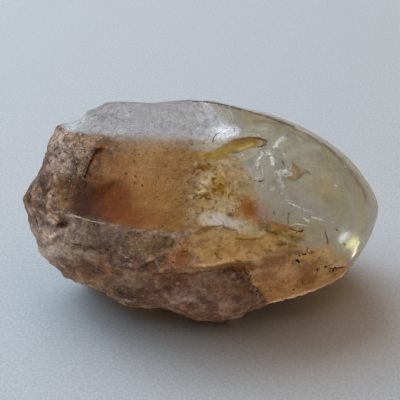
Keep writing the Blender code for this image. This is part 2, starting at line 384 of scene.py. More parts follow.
def build_outer():
    d, quads = cube_sphere(CELLS)
    d = d + np.array((0.0, 0.0, 0.30))          # more facets towards the front
    d /= np.linalg.norm(d, axis=1)[:, None]
    r = reach(d[:, 0], d[:, 1], d[:, 2])
    u, v, w = (d * r[:, None]).T
    U, V = on_outline(u, v, w)
    x, y, z = from_plane(u, v, w)
    rough, dome, hollow, top, front = finish_masks(U, V, w, x, y, z)
    under = sstep(0.2, 0.9, (-z - 11.7 + 0.31 * (x - 11.0) - 0.10 * (y + 11.0)) + 0.9) * sstep(9.5, 12.5, x)
    solid = (1 - under) * sstep(-15.2, -13.0, z)
    P = np.stack((x, y, z), 1)
    N = to_stone(body_normal(np.stack((u, v, w), 1), 0.5))
    out = P / np.linalg.norm(P, axis=1)[:, None]
    coarse = np.array([grain(Vector(p), float(k)) for p, k in zip(P, rough)])
    fine = 0.26 * fbm(P, 1.6, 3, 5) + 0.20 * fbm(P, 0.75, 2, 9)
    pits = np.clip(vnoise(P, 0.9, 31) - 0.45, 0, 1) * 0.5
    low_noise = 0.05 * fbm(P, 0.6, 2, 41)
    lift = coarse + rough * (fine - pits) + (1 - dome) * low_noise
    lift = lift * sstep(0.15, 0.65, np.sum(N * out, 1))
    P = P + out * lift[:, None]
    # the flat that the stone rests on
    P[:, 2] = np.maximum(P[:, 2], FOOT)
    ob = new_mesh("crystal", P, quads)
    return ob, dict(P=P, U=U, V=V, w=w, rough=rough, dome=dome, hollow=hollow, top=top, front=front, solid_dome=solid, N=N)


def body_at(Q):
    return body(Q[:, 0], Q[:, 1], Q[:, 2])


def body_normal(Q, e=0.25):
    g = np.stack([body_at(Q + s) - body_at(Q - s) for s in (np.array((e, 0, 0)), np.array((0, e, 0)), np.array((0, 0, e)))], 1)
    return g / np.linalg.norm(g, axis=1)[:, None]


def look_in(X, Y):
    """Where the sight line through a picture pixel meets the stone, and the way it goes on inside, in plane axes."""
    U, V = at_px(np.asarray(X, float), np.asarray(Y, float))
    start = np.array((APEX_U, APEX_V, APEX))
    way = np.stack((U, V, np.zeros_like(U)), 1) - start
    way /= np.linalg.norm(way, axis=1)[:, None]

    def at(w):
        return start + way * ((w - APEX) / way[:, 2])[:, None]

    low = np.full(U.shape, -9.0)
    found = np.zeros(U.shape, bool)
    high = np.full(U.shape, 19.0)
    for w in np.arange(18.0, -9.1, -0.6):
        inside = (body_at(at(np.full(U.shape, w))) < 0) & ~found
        low = np.where(inside, w, low)
        high = np.where(inside, w + 0.6, high)
        found |= inside
    for _ in range(12):
        mid = (low + high) / 2
        inside = body_at(at(mid)) < 0
        low = np.where(inside, mid, low)
        high = np.where(inside, high, mid)
    E = at(low)
    n = body_normal(E)
    eta = 1 / 1.544
    c = -np.sum(n * way, 1)
    c = np.clip(c, 0.02, 1)
    k = np.sqrt(np.clip(1 - eta * eta * (1 - c * c), 0, 1))
    t = eta * way + (eta * c - k)[:, None] * n
    t /= np.linalg.norm(t, axis=1)[:, None]
    return E, t, n, found


def to_stone(Q):
    x, y, z = from_plane(Q[:, 0], Q[:, 1], Q[:, 2])
    return np.stack((x, y, z), 1)


cam = make_camera()
crystal, S = build_outer()



# ---------------------------------------------------------------- drawing in the picture's own pixels
def seg_distance(X, Y, a, b):
    ax, ay = a
    dx, dy = b[0] - ax, b[1] - ay
    t = np.clip(((X - ax) * dx + (Y - ay) * dy) / (dx * dx + dy * dy + 1e-9), 0, 1)
    return np.hypot(X - ax - t * dx, Y - ay - t * dy), t


def line_distance(X, Y, pts):
    best = np.full(X.shape, 1e9)
    for a, b in zip(pts[:-1], pts[1:]):
        best = np.minimum(best, seg_distance(X, Y, a, b)[0])
    return best


def inside_polygon(X, Y, pts):
    """Signed distance in pixels: above 0 inside."""
    inside = np.zeros(X.shape, bool)
    n = len(pts)
    for i in range(n):
        x0, y0 = pts[i]
        x1, y1 = pts[(i + 1) % n]
        crosses = (y0 > Y) != (y1 > Y)
        with np.errstate(divide="ignore", invalid="ignore"):
            at = (x1 - x0) * (Y - y0) / (y1 - y0 + 1e-12) + x0
        inside ^= crosses & (X < at)
    d = line_distance(X, Y, list(pts) + [pts[0]])
    return np.where(inside, d, -d)


class Canvas:
    """Colours laid over a set of surface points, each with its place in the picture and in the stone."""

    def __init__(self, X, Y, P, base):
        self.X, self.Y, self.P = X, Y, P
        self.col = np.tile(lin(*base), (len(X), 1))
        self.kept = {}

    def noise(self, size, octaves=3, seed=0):
        key = (size, octaves, seed)
        if key not in self.kept:
            self.kept[key] = fbm(self.P, size, octaves, seed)
        return self.kept[key]

    def lay(self, weight, colour):
        self.col = blend_colour(self.col, lin(*colour), weight)

    def warped(self, warp, size, seed):
        if not warp:
            return self.X, self.Y
        return (self.X + warp * self.noise(size, 3, seed + 1) * 2, self.Y + warp * self.noise(size, 3, seed + 2) * 2)

    def blob(self, cx, cy, rx, ry, colour, op=1.0, angle=0.0, soft=0.6, warp=2.0, size=1.6, seed=0):
        X, Y = self.warped(warp, size, seed)
        c, s = math.cos(math.radians(angle)), math.sin(math.radians(angle))
        dx, dy = X - cx, Y - cy
        d = np.hypot((dx * c + dy * s) / rx, (-dx * s + dy * c) / ry)
        w = op * (1 - sstep(1 - soft, 1 + soft, d))
        self.lay(w, colour)
        return w

    def stroke(self, pts, width, colour, op=1.0, soft=0.6, warp=1.0, size=1.0, seed=0):
        X, Y = self.warped(warp, size, seed)
        d = line_distance(X, Y, pts) / width
        w = op * (1 - sstep(1 - soft, 1 + soft, d))
        self.lay(w, colour)
        return w

    def broken(self, pts, width, colour, op=1.0, warp=0.8, size=0.8, seed=0, share=0.0):
        """A stroke that comes and goes."""
        X, Y = self.warped(warp, size, seed)
        d = line_distance(X, Y, pts) / width
        w = op * (1 - sstep(0.4, 1.6, d)) * sstep(share - 0.15, share + 0.25, self.noise(1.1, 2, 611 + seed))
        self.lay(w, colour)

    def area(self, pts, colour, op=1.0, soft=3.0, warp=2.0, size=1.6, seed=0):
        X, Y = self.warped(warp, size, seed)
        w = op * sstep(-soft, soft, inside_polygon(X, Y, pts))
        self.lay(w, colour)
        return w

    def specks(self, where, size, level, colour, op=1.0, seed=0, edge=0.12):
        n = self.noise(size, 1, 500 + seed)
        self.lay(op * np.clip(where, 0, 1) * sstep(level, level + edge, n), colour)

    def near(self, cx, cy, rx, ry=None):
        ry = rx if ry is None else ry
        return np.exp(-((self.X - cx) / rx) ** 2 - ((self.Y - cy) / ry) ** 2)



WINDOW_WAY = (-0.321, 0.557, 0.766)


def soft_cosine(c, k):
    return np.where(c > k, c, np.where(c < -k, 0.0, (np.clip(c, -k, k) + k) ** 2 / (4 * k)))


def daylight(N):
    """Roughly how much light falls on a surface with this normal, so that paint can be mixed for it."""
    back = soft_cosine(N @ np.array(WINDOW_WAY), 0.35)[:, None] * np.array((0.90, 0.985, 1.05))
    front = soft_cosine(N @ np.array((-0.034, -0.984, 0.174)), 0.2)[:, None] * np.array((0.30, 0.265, 0.21))
    return back + front + np.array((0.19, 0.187, 0.187))


# the clear polished part, the frosted top and the coloured garden, as seen from the front
GARDEN = ((186, 152), (200, 150), (214, 149), (232, 157), (246, 167), (255, 180), (261, 196), (269, 208), (277, 221), (290, 225),
          (306, 226), (304, 236), (300, 245), (318, 246), (328, 244), (340, 256), (353, 263), (380, 275), (340, 310), (272, 330),
          (230, 330), (186, 330))
FROST = ((60, 100), (82, 90), (196, 90), (205, 101), (213, 109), (221, 117), (232, 123), (243, 128), (241, 137), (226, 142),
         (206, 140), (180, 137.5), (140, 137), (100, 135), (82, 133), (70, 131), (62, 127))


SHOULDER = ((184, 136), (206, 138), (222, 140), (236, 138), (250, 133), (260, 138), (256, 154), (240, 162), (214, 163), (184, 164))
SLIVER = ((269, 140), (262, 138.2), (255, 136.8), (246, 137), (238, 138), (230, 141), (222, 146), (214, 151.5), (203, 156), (206, 160),
          (218, 158), (228, 155), (238, 151.5), (246, 149.5), (256, 147.5), (263, 144.5), (268, 141.5))


# where the painted glints lie: lines of sparkle in the fractures, with their widths
SPARKLES = (((283, 138), (279, 142), (272, 149), 3.0), ((268, 153), (272, 156), (273, 166), 2.8), ((263, 153), (259, 160), (257.5, 168), 2.4),
            ((286, 170), (281, 176), (280, 187), 3.6), ((287, 202), (295, 206), (302, 209), 1.5), ((303, 218), (306, 220), (310, 222), 1.6),
            ((311, 216.5), (317, 218), (325, 221.5), 1.5), ((268, 186), (276, 190), (288, 196), 1.6), ((262, 172), (261, 180), (266, 186), 1.6))


def sparkle_mask(X, Y, fine):
    """Painted glints: bright bits in the fractures under the skin, in clusters that come and go."""
    out = np.zeros(len(X))
    for a, b, e, w in SPARKLES:
        out = np.maximum(out, 1 - sstep(0.3, 1.4, line_distance(X, Y, (a, b, e)) / w))
    return out * sstep(0.12, 0.42, fine)


def paint_sliver(c):
    c.area(SLIVER, (134, 112, 66), 0.9, 1.4, 0.5)
    c.stroke([(214, 155), (226, 151), (236, 148)], 2.6, (146, 126, 80), 0.7, 0.9, 0.8)
    c.stroke([(232, 140.5), (242, 139), (252, 138), (260, 139), (267, 140.5)], 1.2, (106, 80, 42), 0.9, 0.6, 0.3)
    c.stroke([(236, 143), (246, 141.5), (256, 141)], 1.4, (122, 94, 48), 0.7, 0.7, 0.4)
    c.stroke([(240, 149), (246, 147), (252, 144.5)], 1.3, (184, 156, 108), 0.75, 0.7, 0.3)
    c.stroke([(234, 142.5), (237, 146)], 1.2, (150, 92, 54), 0.6, 0.7, 0.3)
    c.stroke([(232, 152.5), (238, 152.3), (241, 151.5)], 0.8, (88, 76, 30), 0.7, 0.6, 0.3)


def paint_picture(c):
    """The garden, the mist and what lies in it."""
    n1, n2, n3 = c.noise(6.0, 4, 101), c.noise(2.2, 4, 102), c.noise(0.9, 3, 103)
    # mist
    c.lay(np.ones(len(c.X)), (147, 139, 122))
    c.blob(250, 140, 22, 14, (152, 150, 138), 0.7, 0, 0.9, 3)
    c.blob(285, 150, 26, 18, (150, 143, 127), 0.6, 0, 0.9, 3)
    c.blob(345, 195, 28, 34, (142, 128, 104), 0.75, 25, 0.9, 3)
    c.blob(325, 165, 26, 14, (140, 130, 108), 0.6, 35, 0.9, 3)
    c.blob(300, 204, 14, 8, (152, 149, 132), 0.6, 20, 0.9, 2)
    c.blob(356, 215, 12, 16, (148, 138, 118), 0.6, 0, 0.9, 2)
    c.blob(285, 215, 16, 10, (143, 131, 110), 0.6, 0, 0.9, 2)
    c.lay(sstep(0.05, 0.6, n1) * 0.35, (158, 152, 138))
    c.lay(sstep(0.05, 0.6, -n1) * 0.35, (134, 122, 100))
    c.lay(sstep(0.1, 0.6, n2) * 0.18, (165, 158, 142))
    # painted shade: a darker band and a dark line just inside the dome's rim, where the view through it reaches the
    # shaded underside
    c.stroke([(232, 116), (262, 121), (290, 131), (320, 148), (345, 170), (362, 195), (368, 215)], 7, (128, 118, 98), 0.4, 0.9, 2)
    c.broken([(232, 107), (262, 115), (285, 123), (305, 132), (330, 149), (350, 170), (364, 192), (369, 206)], 1.8, (98, 84, 66), 0.7, 0.6, 0.8, 9, -0.35)
    # painted reflection: the pale line of the window along the rim
    c.stroke([(296, 127), (310, 134), (322, 143)], 1.2, (172, 168, 156), 0.6, 0.7, 0.5)
    c.stroke([(355, 172), (364, 188), (369, 204)], 3.0, (110, 95, 70), 0.55, 0.8, 0.8)
    c.blob(231, 111, 7, 3, (118, 110, 78), 0.75, 20)
    c.stroke([(254, 121), (268, 122), (284, 124)], 1.6, (112, 106, 76), 0.7, 0.7, 0.6)
    c.blob(254, 131, 2.5, 2.5, (120, 108, 96), 0.6)
    c.stroke([(290, 148), (297, 156), (300, 161)], 1.6, (126, 114, 92), 0.5)
    c.stroke([(258, 150), (259, 165), (260, 178)], 4.5, (168, 162, 150), 0.6, 0.8, 1.5)
    c.blob(281, 178, 5, 10, (172, 160, 142), 0.65, 10, 0.8, 1.5)
    c.stroke([(258, 181), (263, 180)], 1.0, (90, 80, 62), 0.7)
    c.blob(284, 163, 2.0, 4, (112, 100, 80), 0.6, -20)
    c.blob(268, 172, 13, 24, (146, 146, 134), 0.55, 0, 0.9, 3)
    c.blob(272, 150, 8, 14, (160, 160, 150), 0.5, 30, 0.9, 2)
    c.blob(318, 188, 18, 12, (134, 120, 94), 0.6, 10, 0.9, 3)
    c.blob(333, 205, 16, 10, (146, 130, 104), 0.6, 20, 0.9, 3)
    c.blob(300, 150, 9, 16, (158, 152, 136), 0.5, 35, 0.9, 2)
    c.blob(290, 200, 14, 5, (160, 158, 142), 0.55, 12, 0.9, 2)
    c.blob(362, 222, 5, 16, (128, 112, 84), 0.6, 0, 0.9, 1.5)
    c.broken([(262, 196), (276, 199), (292, 204), (310, 212), (326, 220)], 2.4, (172, 166, 150), 0.6, 0.9, 1.2, 12, 0.0)
    c.broken([(296, 168), (318, 176), (338, 190)], 1.6, (122, 108, 84), 0.5, 0.9, 1.2, 13, 0.0)
    c.broken([(288, 186), (306, 190), (322, 198)], 1.4, (126, 114, 92), 0.5, 0.9, 1.2, 14, 0.0)
    c.broken([(340, 150), (352, 166), (360, 182)], 1.6, (116, 102, 78), 0.6, 0.8, 0.8, 15, -0.1)
    c.broken([(284, 199), (296, 203), (310, 208), (322, 214)], 3.2, (178, 173, 158), 0.7, 1.2, 1.2, 51, -0.1)
    c.broken([(292, 212), (306, 216), (320, 222), (334, 226)], 2.0, (182, 174, 154), 0.6, 1.2, 1.0, 52, -0.1)
    c.broken([(286, 158), (298, 150), (308, 146), (320, 148)], 3.0, (172, 168, 154), 0.6, 1.2, 1.2, 53, -0.1)
    c.broken([(318, 160), (334, 172), (346, 188), (350, 204)], 2.2, (164, 154, 134), 0.6, 1.2, 1.2, 54, 0.0)
    c.broken([(300, 188), (314, 192), (330, 202), (344, 214)], 2.2, (122, 108, 84), 0.55, 1.2, 1.2, 55, 0.0)
    c.broken([(240, 128), (262, 129), (284, 134), (300, 142)], 2.4, (176, 174, 164), 0.6, 1.2, 1.2, 56, 0.0)
    c.blob(303, 208, 15, 9, (172, 168, 154), 0.55, 12, 0.9, 3)
    c.blob(300, 176, 16, 20, (160, 154, 138), 0.4, 0, 0.9, 3)
    # veils
    c.stroke([(288, 203), (296, 206), (304, 209)], 1.8, (176, 168, 148), 0.6, 0.8, 0.6)
    c.stroke([(304, 219), (309, 222)], 1.8, (186, 176, 158), 0.75, 0.7, 0.6)
    c.stroke([(311, 217), (317, 218.5), (324, 221)], 1.3, (192, 184, 166), 0.8, 0.7, 0.6)
    c.blob(312, 214, 14, 5, (158, 148, 132), 0.5, 20, 0.9, 1.5)
    c.blob(316, 226, 12, 5, (130, 116, 96), 0.5, 5, 0.9, 1.5)
    c.blob(333, 222, 2.5, 1, (184, 170, 146), 0.7)
    c.blob(335, 185.5, 2, 1, (190, 176, 152), 0.8)
    c.blob(336, 230, 4, 3, (112, 94, 68), 0.6)
    # window between fractures
    c.area([(299, 228), (325, 226), (328, 243), (300, 246)], (139, 121, 92), 0.8, 2, 1)
    c.area([(330, 238), (346, 240), (350, 258), (330, 264)], (143, 120, 82), 0.8, 4, 2)
    c.stroke([(325, 231), (326, 238), (328, 243), (327, 247)], 0.9, (98, 76, 46), 0.7, 0.6, 0.4)
    # garden
    loose = 3.5 + 5.0 * sstep(236.0, 250.0, c.X) * sstep(226.0, 214.0, c.Y) + 5.5 * sstep(276.0, 292.0, c.X) * sstep(262.0, 252.0, c.Y)
    g = sstep(-loose, loose, inside_polygon(c.X + 4 * n2 + 2 * n3, c.Y + 4 * c.noise(2.2, 4, 109) + 2 * n3, GARDEN))
    q = Canvas(c.X, c.Y, c.P, (134, 105, 68))
    q.kept = c.kept
    q.lay(sstep(0.0, 0.5, n1) * 0.4, (144, 116, 76))
    q.lay(sstep(0.0, 0.5, -n1) * 0.4, (118, 90, 54))
    q.blob(206, 155, 14, 6, (142, 118, 80), 0.8, -10)
    q.blob(230, 165, 19, 9, (150, 132, 102), 0.7, 20, 0.9, 3)
    q.blob(222, 184, 12, 11, (124, 95, 46), 0.85)
    q.blob(242, 184, 12, 12, (132, 105, 70), 0.8)
    q.blob(244, 184, 7, 5, (112, 86, 54), 0.5, 30)
    q.blob(256, 192, 7, 12, (134, 116, 92), 0.6, -20)
    q.blob(196, 190, 8, 14, (136, 112, 76), 0.7)
    q.blob(218, 205, 20, 9, (152, 130, 96), 0.8)
    q.blob(202, 208, 10, 10, (138, 114, 74), 0.7)
    q.blob(234, 200, 8, 10, (136, 110, 72), 0.6)
    q.lay(sstep(0.0, 0.45, n3) * 0.30, (160, 136, 98))
    q.lay(sstep(0.0, 0.45, -n3) * 0.30, (104, 78, 44))
    # dark red specks and the pale nodule
    for x, y, r in ((192, 174, 2.2), (197, 169, 1.8), (200, 167, 2.6), (204, 166, 2.4), (208, 164, 2), (194, 170, 1.6), (198, 176, 1.8), (202, 170, 2.2), (205, 160, 1.6)):
        q.blob(x, y, r, r * 0.8, (92, 54, 30), 0.7, 0, 0.6, 1.2, 0.8)
    q.blob(209, 175, 6, 3.5, (170, 158, 124), 0.7, 15, 0.9, 2.4, 1.0)
    q.blob(205, 182, 7.5, 7, (164, 142, 108), 0.75, 0, 0.7, 2.4, 1.0)
    q.blob(202, 183, 3, 2.4, (180, 158, 126), 0.6, 0, 0.8, 1.8, 0.8, 3)
    q.blob(208, 180, 2.6, 2, (176, 152, 118), 0.6, 0, 0.8, 1.8, 0.8, 4)
    q.broken([(199, 184), (202, 189), (208, 190), (212, 187), (213.5, 182), (212, 177)], 1.0, (88, 66, 38), 0.85, 1.0, 0.8, 1)
    q.broken([(200, 179), (201, 185), (205, 187.5), (209, 185)], 0.9, (196, 172, 136), 0.7, 1.0, 0.8, 2)
    q.broken([(203, 177), (206, 180), (206, 184)], 0.8, (106, 82, 54), 0.7, 1.0, 0.8, 3)
    q.broken([(208, 179), (210, 182), (209, 186)], 0.7, (112, 88, 58), 0.6, 1.0, 0.8, 4)
    q.broken([(199, 192), (204, 191.5), (209, 190.5)], 1.0, (194, 168, 128), 0.8, 0.8, 0.8, 5, -0.3)
    q.broken([(199, 194.5), (204, 195), (208, 193.5)], 0.9, (86, 62, 34), 0.8, 0.8, 0.8, 6, -0.2)
    q.broken([(201, 197.5), (204, 196.5), (207, 199), (211, 199)], 1.1, (84, 60, 32), 0.75, 0.8, 0.8, 7, -0.2)
    q.blob(214, 190, 2.2, 1.6, (82, 58, 28), 0.8, 0, 0.7, 1.2)
    q.blob(222.5, 165, 0.9, 1.6, (66, 48, 24), 0.9, 0, 0.5, 0.2)
    q.stroke([(190, 212), (193, 216)], 1.6, (170, 138, 92), 0.7)
    q.stroke([(196, 213), (200, 214), (203, 212)], 1.3, (104, 80, 48), 0.7)
    for k, (x0, y0, x1, y1) in enumerate(((190, 160, 214, 172), (196, 166, 240, 200), (232, 176, 262, 202), (200, 196, 232, 216), (236, 200, 262, 214), (190, 176, 204, 214))):
        spot = q.near((x0 + x1) / 2, (y0 + y1) / 2, (x1 - x0) / 2, (y1 - y0) / 2)
        q.specks(spot, 0.50, 0.34, (92, 66, 34), 0.75, 31 + k)
        q.specks(spot, 0.62, 0.44, (172, 148, 110), 0.5, 41 + k)
    q.col = q.col * (1 + q.near(222, 188, 40, 32)[:, None] * np.array((0.20, 0.28, 0.46)))
    q.lay(sstep(230.0, 250.0, q.X + 5 * n2) * sstep(214.0, 204.0, q.Y) * sstep(160.0, 170.0, q.Y) * 0.5, (150, 140, 116))
    # red-orange blob and its halo
    q.blob(266, 217, 15, 9, (134, 98, 54), 0.8, 30, 0.7)
    q.blob(251, 212, 15, 11, (134, 92, 56), 0.8, 25, 0.9, 3.5)
    q.blob(252, 211, 9, 7, (116, 70, 40), 0.75, 25, 0.9, 3.5)
    q.specks(q.near(252, 211, 12, 9), 0.6, 0.25, (98, 54, 30), 0.5, 27)
    q.blob(246, 204, 6, 4.5, (122, 82, 52), 0.6, 40, 0.9, 3)
    q.blob(270, 224, 10, 5, (142, 110, 62), 0.7, 20)
    q.stroke([(258, 219), (270, 223), (282, 226), (292, 229)], 2.0, (118, 80, 36), 0.6, 0.7, 1)
    # chalk
    q.blob(216, 220, 15, 6.5, (178, 166, 146), 0.9, 5, 0.5)
    q.blob(221, 221, 9, 4, (198, 186, 168), 0.8, 10, 0.6)
    q.blob(226, 206, 9, 6, (158, 142, 114), 0.5)
    q.blob(240, 226, 9, 5.5, (170, 154, 130), 0.85, 20)
    q.blob(256, 230, 13, 7.5, (162, 142, 106), 0.85, 8)
    q.blob(229, 215, 3.2, 3, (92, 72, 48), 0.8, 0, 0.6, 1.6)
    q.blob(210, 219, 2, 1.4, (112, 92, 66), 0.6)
    q.stroke([(202, 229), (207, 226.5), (214, 226), (222, 226), (228, 229), (236, 230), (238, 236)], 1.0, (92, 70, 46), 0.75, 0.6, 0.7)
    q.stroke([(198, 234), (205, 231), (210, 229)], 1.3, (88, 66, 40), 0.7, 0.6, 0.6)
    q.specks(q.near(258, 231, 13, 8) + q.near(240, 226, 10, 6), 0.55, 0.3, (108, 84, 52), 0.6, 23)
    q.col = q.col * (1 + q.near(230, 227, 30, 11)[:, None] * np.array((0.06, 0.17, 0.38)))
    # yellow zone
    q.area([(190, 230), (236, 233), (250, 241), (266, 238), (268, 250), (258, 264), (196, 267), (186, 250)], (143, 114, 74), 0.8, 5, 4)
    w = sstep(-4.0, 4.0, inside_polygon(q.X, q.Y, ((190, 230), (236, 233), (250, 241), (266, 238), (268, 250), (258, 264), (196, 267), (186, 250))))
    q.lay(w * sstep(0.02, 0.35, n2) * 0.5, (156, 126, 82))
    q.lay(w * sstep(0.02, 0.35, -n2) * 0.5, (126, 92, 54))
    q.lay(w * sstep(0.05, 0.35, n3) * 0.35, (166, 138, 98))
    q.lay(w * sstep(0.05, 0.35, -n3) * 0.35, (114, 82, 46))
    q.blob(216, 234, 14, 4, (148, 126, 90), 0.6)
    q.blob(246, 244, 12, 4, (112, 88, 50), 0.6, 3, 0.9, 2.5)
    q.blob(232, 256, 16, 5, (150, 110, 64), 0.7)
    q.blob(206, 256, 9, 7, (146, 114, 62), 0.7)
    q.blob(228, 240, 2.5, 3, (118, 94, 56), 0.5)
    q.stroke([(236, 238), (246, 239.5), (253, 240), (262, 238), (270, 234), (276, 231)], 1.2, (90, 66, 30), 0.8, 0.6, 0.6)
    q.stroke([(215, 254), (217, 258), (220, 259)], 1.0, (92, 62, 28), 0.8)
    q.stroke([(246, 254), (253, 253), (260, 255)], 0.9, (116, 84, 44), 0.7)
    q.stroke([(236, 261), (242, 261.5)], 1.0, (72, 44, 16), 0.85)
    q.blob(268, 245, 6, 8, (164, 130, 90), 0.8)
    # painted highlight: the small bright spot in the light blob
    q.blob(270, 247, 2.4, 2, (200, 170, 130), 0.8)
    q.blob(262, 245, 2.4, 3.5, (104, 78, 40), 0.6, -30)
    # painted highlight along the lip's edge
    q.stroke([(196, 266), (210, 265), (222, 263.5)], 1.2, (172, 138, 92), 0.6, 0.7, 0.5)
    # ochre field under the dendrites
    q.area([(270, 228), (290, 229), (303, 235), (308, 246), (296, 256), (268, 256), (266, 240)], (120, 96, 58), 0.7, 10, 6)
    q.broken([(262, 226), (274, 232), (288, 237), (303, 243)], 4.5, (94, 74, 44), 0.8, 1.4, 1.0, 41, -0.3)
    q.broken([(268, 240), (282, 246), (298, 250)], 3.5, (150, 120, 70), 0.7, 1.4, 1.0, 42, -0.1)
    q.broken([(264, 250), (280, 252), (296, 246), (306, 240)], 1.6, (84, 58, 28), 0.8, 1.2, 0.8, 43, -0.1)
    q.broken([(272, 228), (284, 230), (298, 231)], 1.4, (164, 142, 98), 0.7, 1.2, 0.8, 44, -0.1)
    q.broken([(286, 232), (291, 241), (289, 252)], 1.4, (90, 64, 30), 0.8, 1.2, 0.8, 45, -0.2)
    q.blob(280, 242, 7, 4, (92, 72, 44), 0.7, 0, 0.9, 3)
    q.blob(294, 243, 6, 4, (98, 78, 50), 0.7, 0, 0.9, 3)
    q.blob(287, 238, 6, 3, (140, 116, 76), 0.7, 0, 0.9, 2)
    q.blob(284, 251, 9, 3, (146, 116, 66), 0.6)
    q.blob(284, 231, 9, 3, (100, 78, 46), 0.6, 0, 0.9, 2)
    q.broken([(266, 230), (280, 235), (296, 238), (308, 240)], 1.3, (72, 54, 32), 0.75, 1.0, 0.8, 61, -0.2)
    q.broken([(270, 246), (284, 244), (300, 247), (310, 244)], 1.3, (70, 52, 32), 0.75, 1.0, 0.8, 62, -0.2)
    q.broken([(276, 238), (292, 243), (306, 246)], 1.4, (150, 132, 98), 0.45, 1.0, 0.8, 63, -0.2)
    q.broken([(282, 233), (296, 235), (308, 234)], 1.2, (152, 138, 106), 0.45, 1.0, 0.8, 64, -0.2)
    q.stroke([(290, 225), (298, 224), (307, 226)], 1.1, (182, 166, 118), 0.85, 0.6, 0.3)
    q.blob(296, 228, 5, 2, (116, 90, 54), 0.6)
    q.blob(300, 222, 6, 2.5, (150, 136, 104), 0.5)
    # base
    q.area([(262, 262), (284, 252), (300, 252), (318, 262), (332, 272), (346, 270), (350, 280), (330, 300), (266, 320), (256, 290)], (114, 80, 46), 0.9, 4, 3)
    w = sstep(-5.0, 5.0, inside_polygon(q.X, q.Y, ((256, 262), (284, 250), (302, 248), (330, 250), (352, 262), (350, 284), (330, 300), (266, 320), (250, 290))))
    q.lay(w * sstep(0.02, 0.35, n2) * 0.6, (138, 106, 66))
    q.lay(w * sstep(0.02, 0.35, -n2) * 0.65, (88, 60, 34))
    q.lay(w * sstep(0.05, 0.35, n3) * 0.4, (148, 114, 72))
    q.lay(w * sstep(0.05, 0.35, -n3) * 0.5, (76, 50, 28))
    q.blob(307, 274, 9, 13, (104, 64, 34), 0.6, 0, 0.9, 3)
    q.broken([(262, 264), (274, 260), (288, 255), (302, 252)], 2.2, (92, 64, 36), 0.8, 0.8, 1.0, 31, -0.3)
    q.broken([(264, 270), (280, 266), (296, 262), (312, 264)], 1.6, (146, 112, 78), 0.6, 0.9, 1.0, 32, -0.1)
    q.broken([(268, 296), (282, 290), (298, 287), (314, 281)], 1.6, (96, 66, 42), 0.7, 0.9, 1.0, 33, -0.1)
    q.broken([(300, 262), (316, 258), (330, 262), (344, 262)], 1.5, (98, 72, 40), 0.7, 0.9, 1.0, 34, -0.1)
    q.broken([(316, 278), (330, 272), (344, 268)], 1.4, (88, 60, 34), 0.75, 0.9, 1.0, 35, -0.2)
    q.blob(262, 278, 5, 9, (112, 78, 54), 0.6, 10, 0.8, 1.5)
    q.blob(272, 263, 10, 5, (102, 66, 32), 0.8)
    q.blob(284, 276, 13, 9, (136, 100, 68), 0.45, 0, 0.9, 3)
    q.blob(272, 290, 8, 10, (112, 78, 52), 0.45, 0, 0.9, 3)
    q.blob(292, 286, 9, 5, (138, 100, 68), 0.45, -15, 0.9, 3)
    q.blob(322, 274, 7, 10, (134, 106, 64), 0.75)
    q.blob(316, 254, 13, 6, (142, 112, 66), 0.85)
    q.blob(334, 256, 11, 8, (150, 124, 84), 0.8, 0, 0.9, 3)
    q.blob(306, 272, 6, 10, (86, 56, 28), 0.5, 10, 0.9, 3)
    q.blob(314, 265, 3, 8, (104, 78, 34), 0.6)
    q.blob(340, 274, 10, 5, (124, 92, 56), 0.8, -30)
    q.stroke([(298, 247), (312, 245.5), (326, 243)], 1.1, (98, 70, 32), 0.8, 0.6, 0.4)
    q.stroke([(332, 267), (339, 265), (347, 263.5)], 1.4, (190, 158, 126), 0.85, 0.6, 0.4)
    q.stroke([(270, 300), (290, 296), (312, 289), (334, 281)], 4.0, (134, 98, 66), 0.5, 0.7, 1)
    q.specks(q.near(285, 285, 25, 14), 0.8, 0.35, (96, 66, 40), 0.5, 24)
    q.specks(q.near(325, 270, 18, 12), 0.6, 0.3, (82, 54, 24), 0.6, 25)
    c.col = c.col * (1 - g)[:, None] + q.col * g[:, None]
    c.area([(198, 92), (206, 94), (236, 112), (246, 128), (232, 128), (214, 112)], (150, 147, 143), 0.8, 3, 1.5)
    c.blob(212, 145, 12, 5, (166, 160, 148), 0.7, -15, 0.8, 1.5)
    c.blob(200, 147, 9, 4, (150, 140, 120), 0.6, 0, 0.8, 1.5)
    c.stroke([(213, 140), (216, 136), (221, 133)], 0.8, (110, 104, 98), 0.7, 0.6, 0.4)
    c.blob(213, 141, 1.2, 1.0, (70, 60, 50), 0.8, 0, 0.6, 0.3)
    c.blob(204, 143.5, 1.2, 1.2, (100, 88, 72), 0.8, 0, 0.6, 0.3)
    c.blob(192, 144.5, 1.4, 1.0, (76, 60, 44), 0.85, 0, 0.6, 0.3)
    for x, y, rx, ry, gain in ((193, 209, 14, 12, (0.08, 0.10, 0.07)), (262, 231, 24, 11, (0.09, 0.10, 0.09)), (300, 209, 18, 14, (0.10, 0.09, 0.05)),
                               (262, 276, 14, 11, (-0.10, -0.16, -0.22)), (282, 186, 14, 11, (0.07, 0.04, 0.01)), (280, 297, 26, 9, (0.10, 0.08, 0.06)), (222, 253, 28, 10, (-0.06, -0.08, -0.08))):
        c.col = c.col * (1 + c.near(x, y, rx, ry)[:, None] * np.array(gain))
    paint_sliver(c)
    return g


def clear_mask(X, Y, n2, n3):
    """Where the front is clear skin over the mist, and how far the garden comes up to the surface."""
    right = sstep(192.0, 206.0, X + 4 * n2)
    garden_d = inside_polygon(X + 4 * n2, Y + 3 * n3, GARDEN)
    surface = sstep(-9.0, 9.0, garden_d + 6 * n3 + 5 * n2) * (1 - sstep(235.0, 275.0, X + 8 * n2 + 6 * n3))
    field = sstep(252.0, 264.0, X) * (1 - sstep(294.0, 312.0, X + 8 * n2 + 6 * n3))
    low = 0.75 * sstep(-8.0, 14.0 - 9.0 * field, garden_d + 6 * n2 + 4 * n3) * sstep(222.0 - 8.0 * field, 248.0 - 16.0 * field, Y + 6 * n2)
    surface = np.maximum(surface, low)
    return right * (1 - 0.66 * surface)


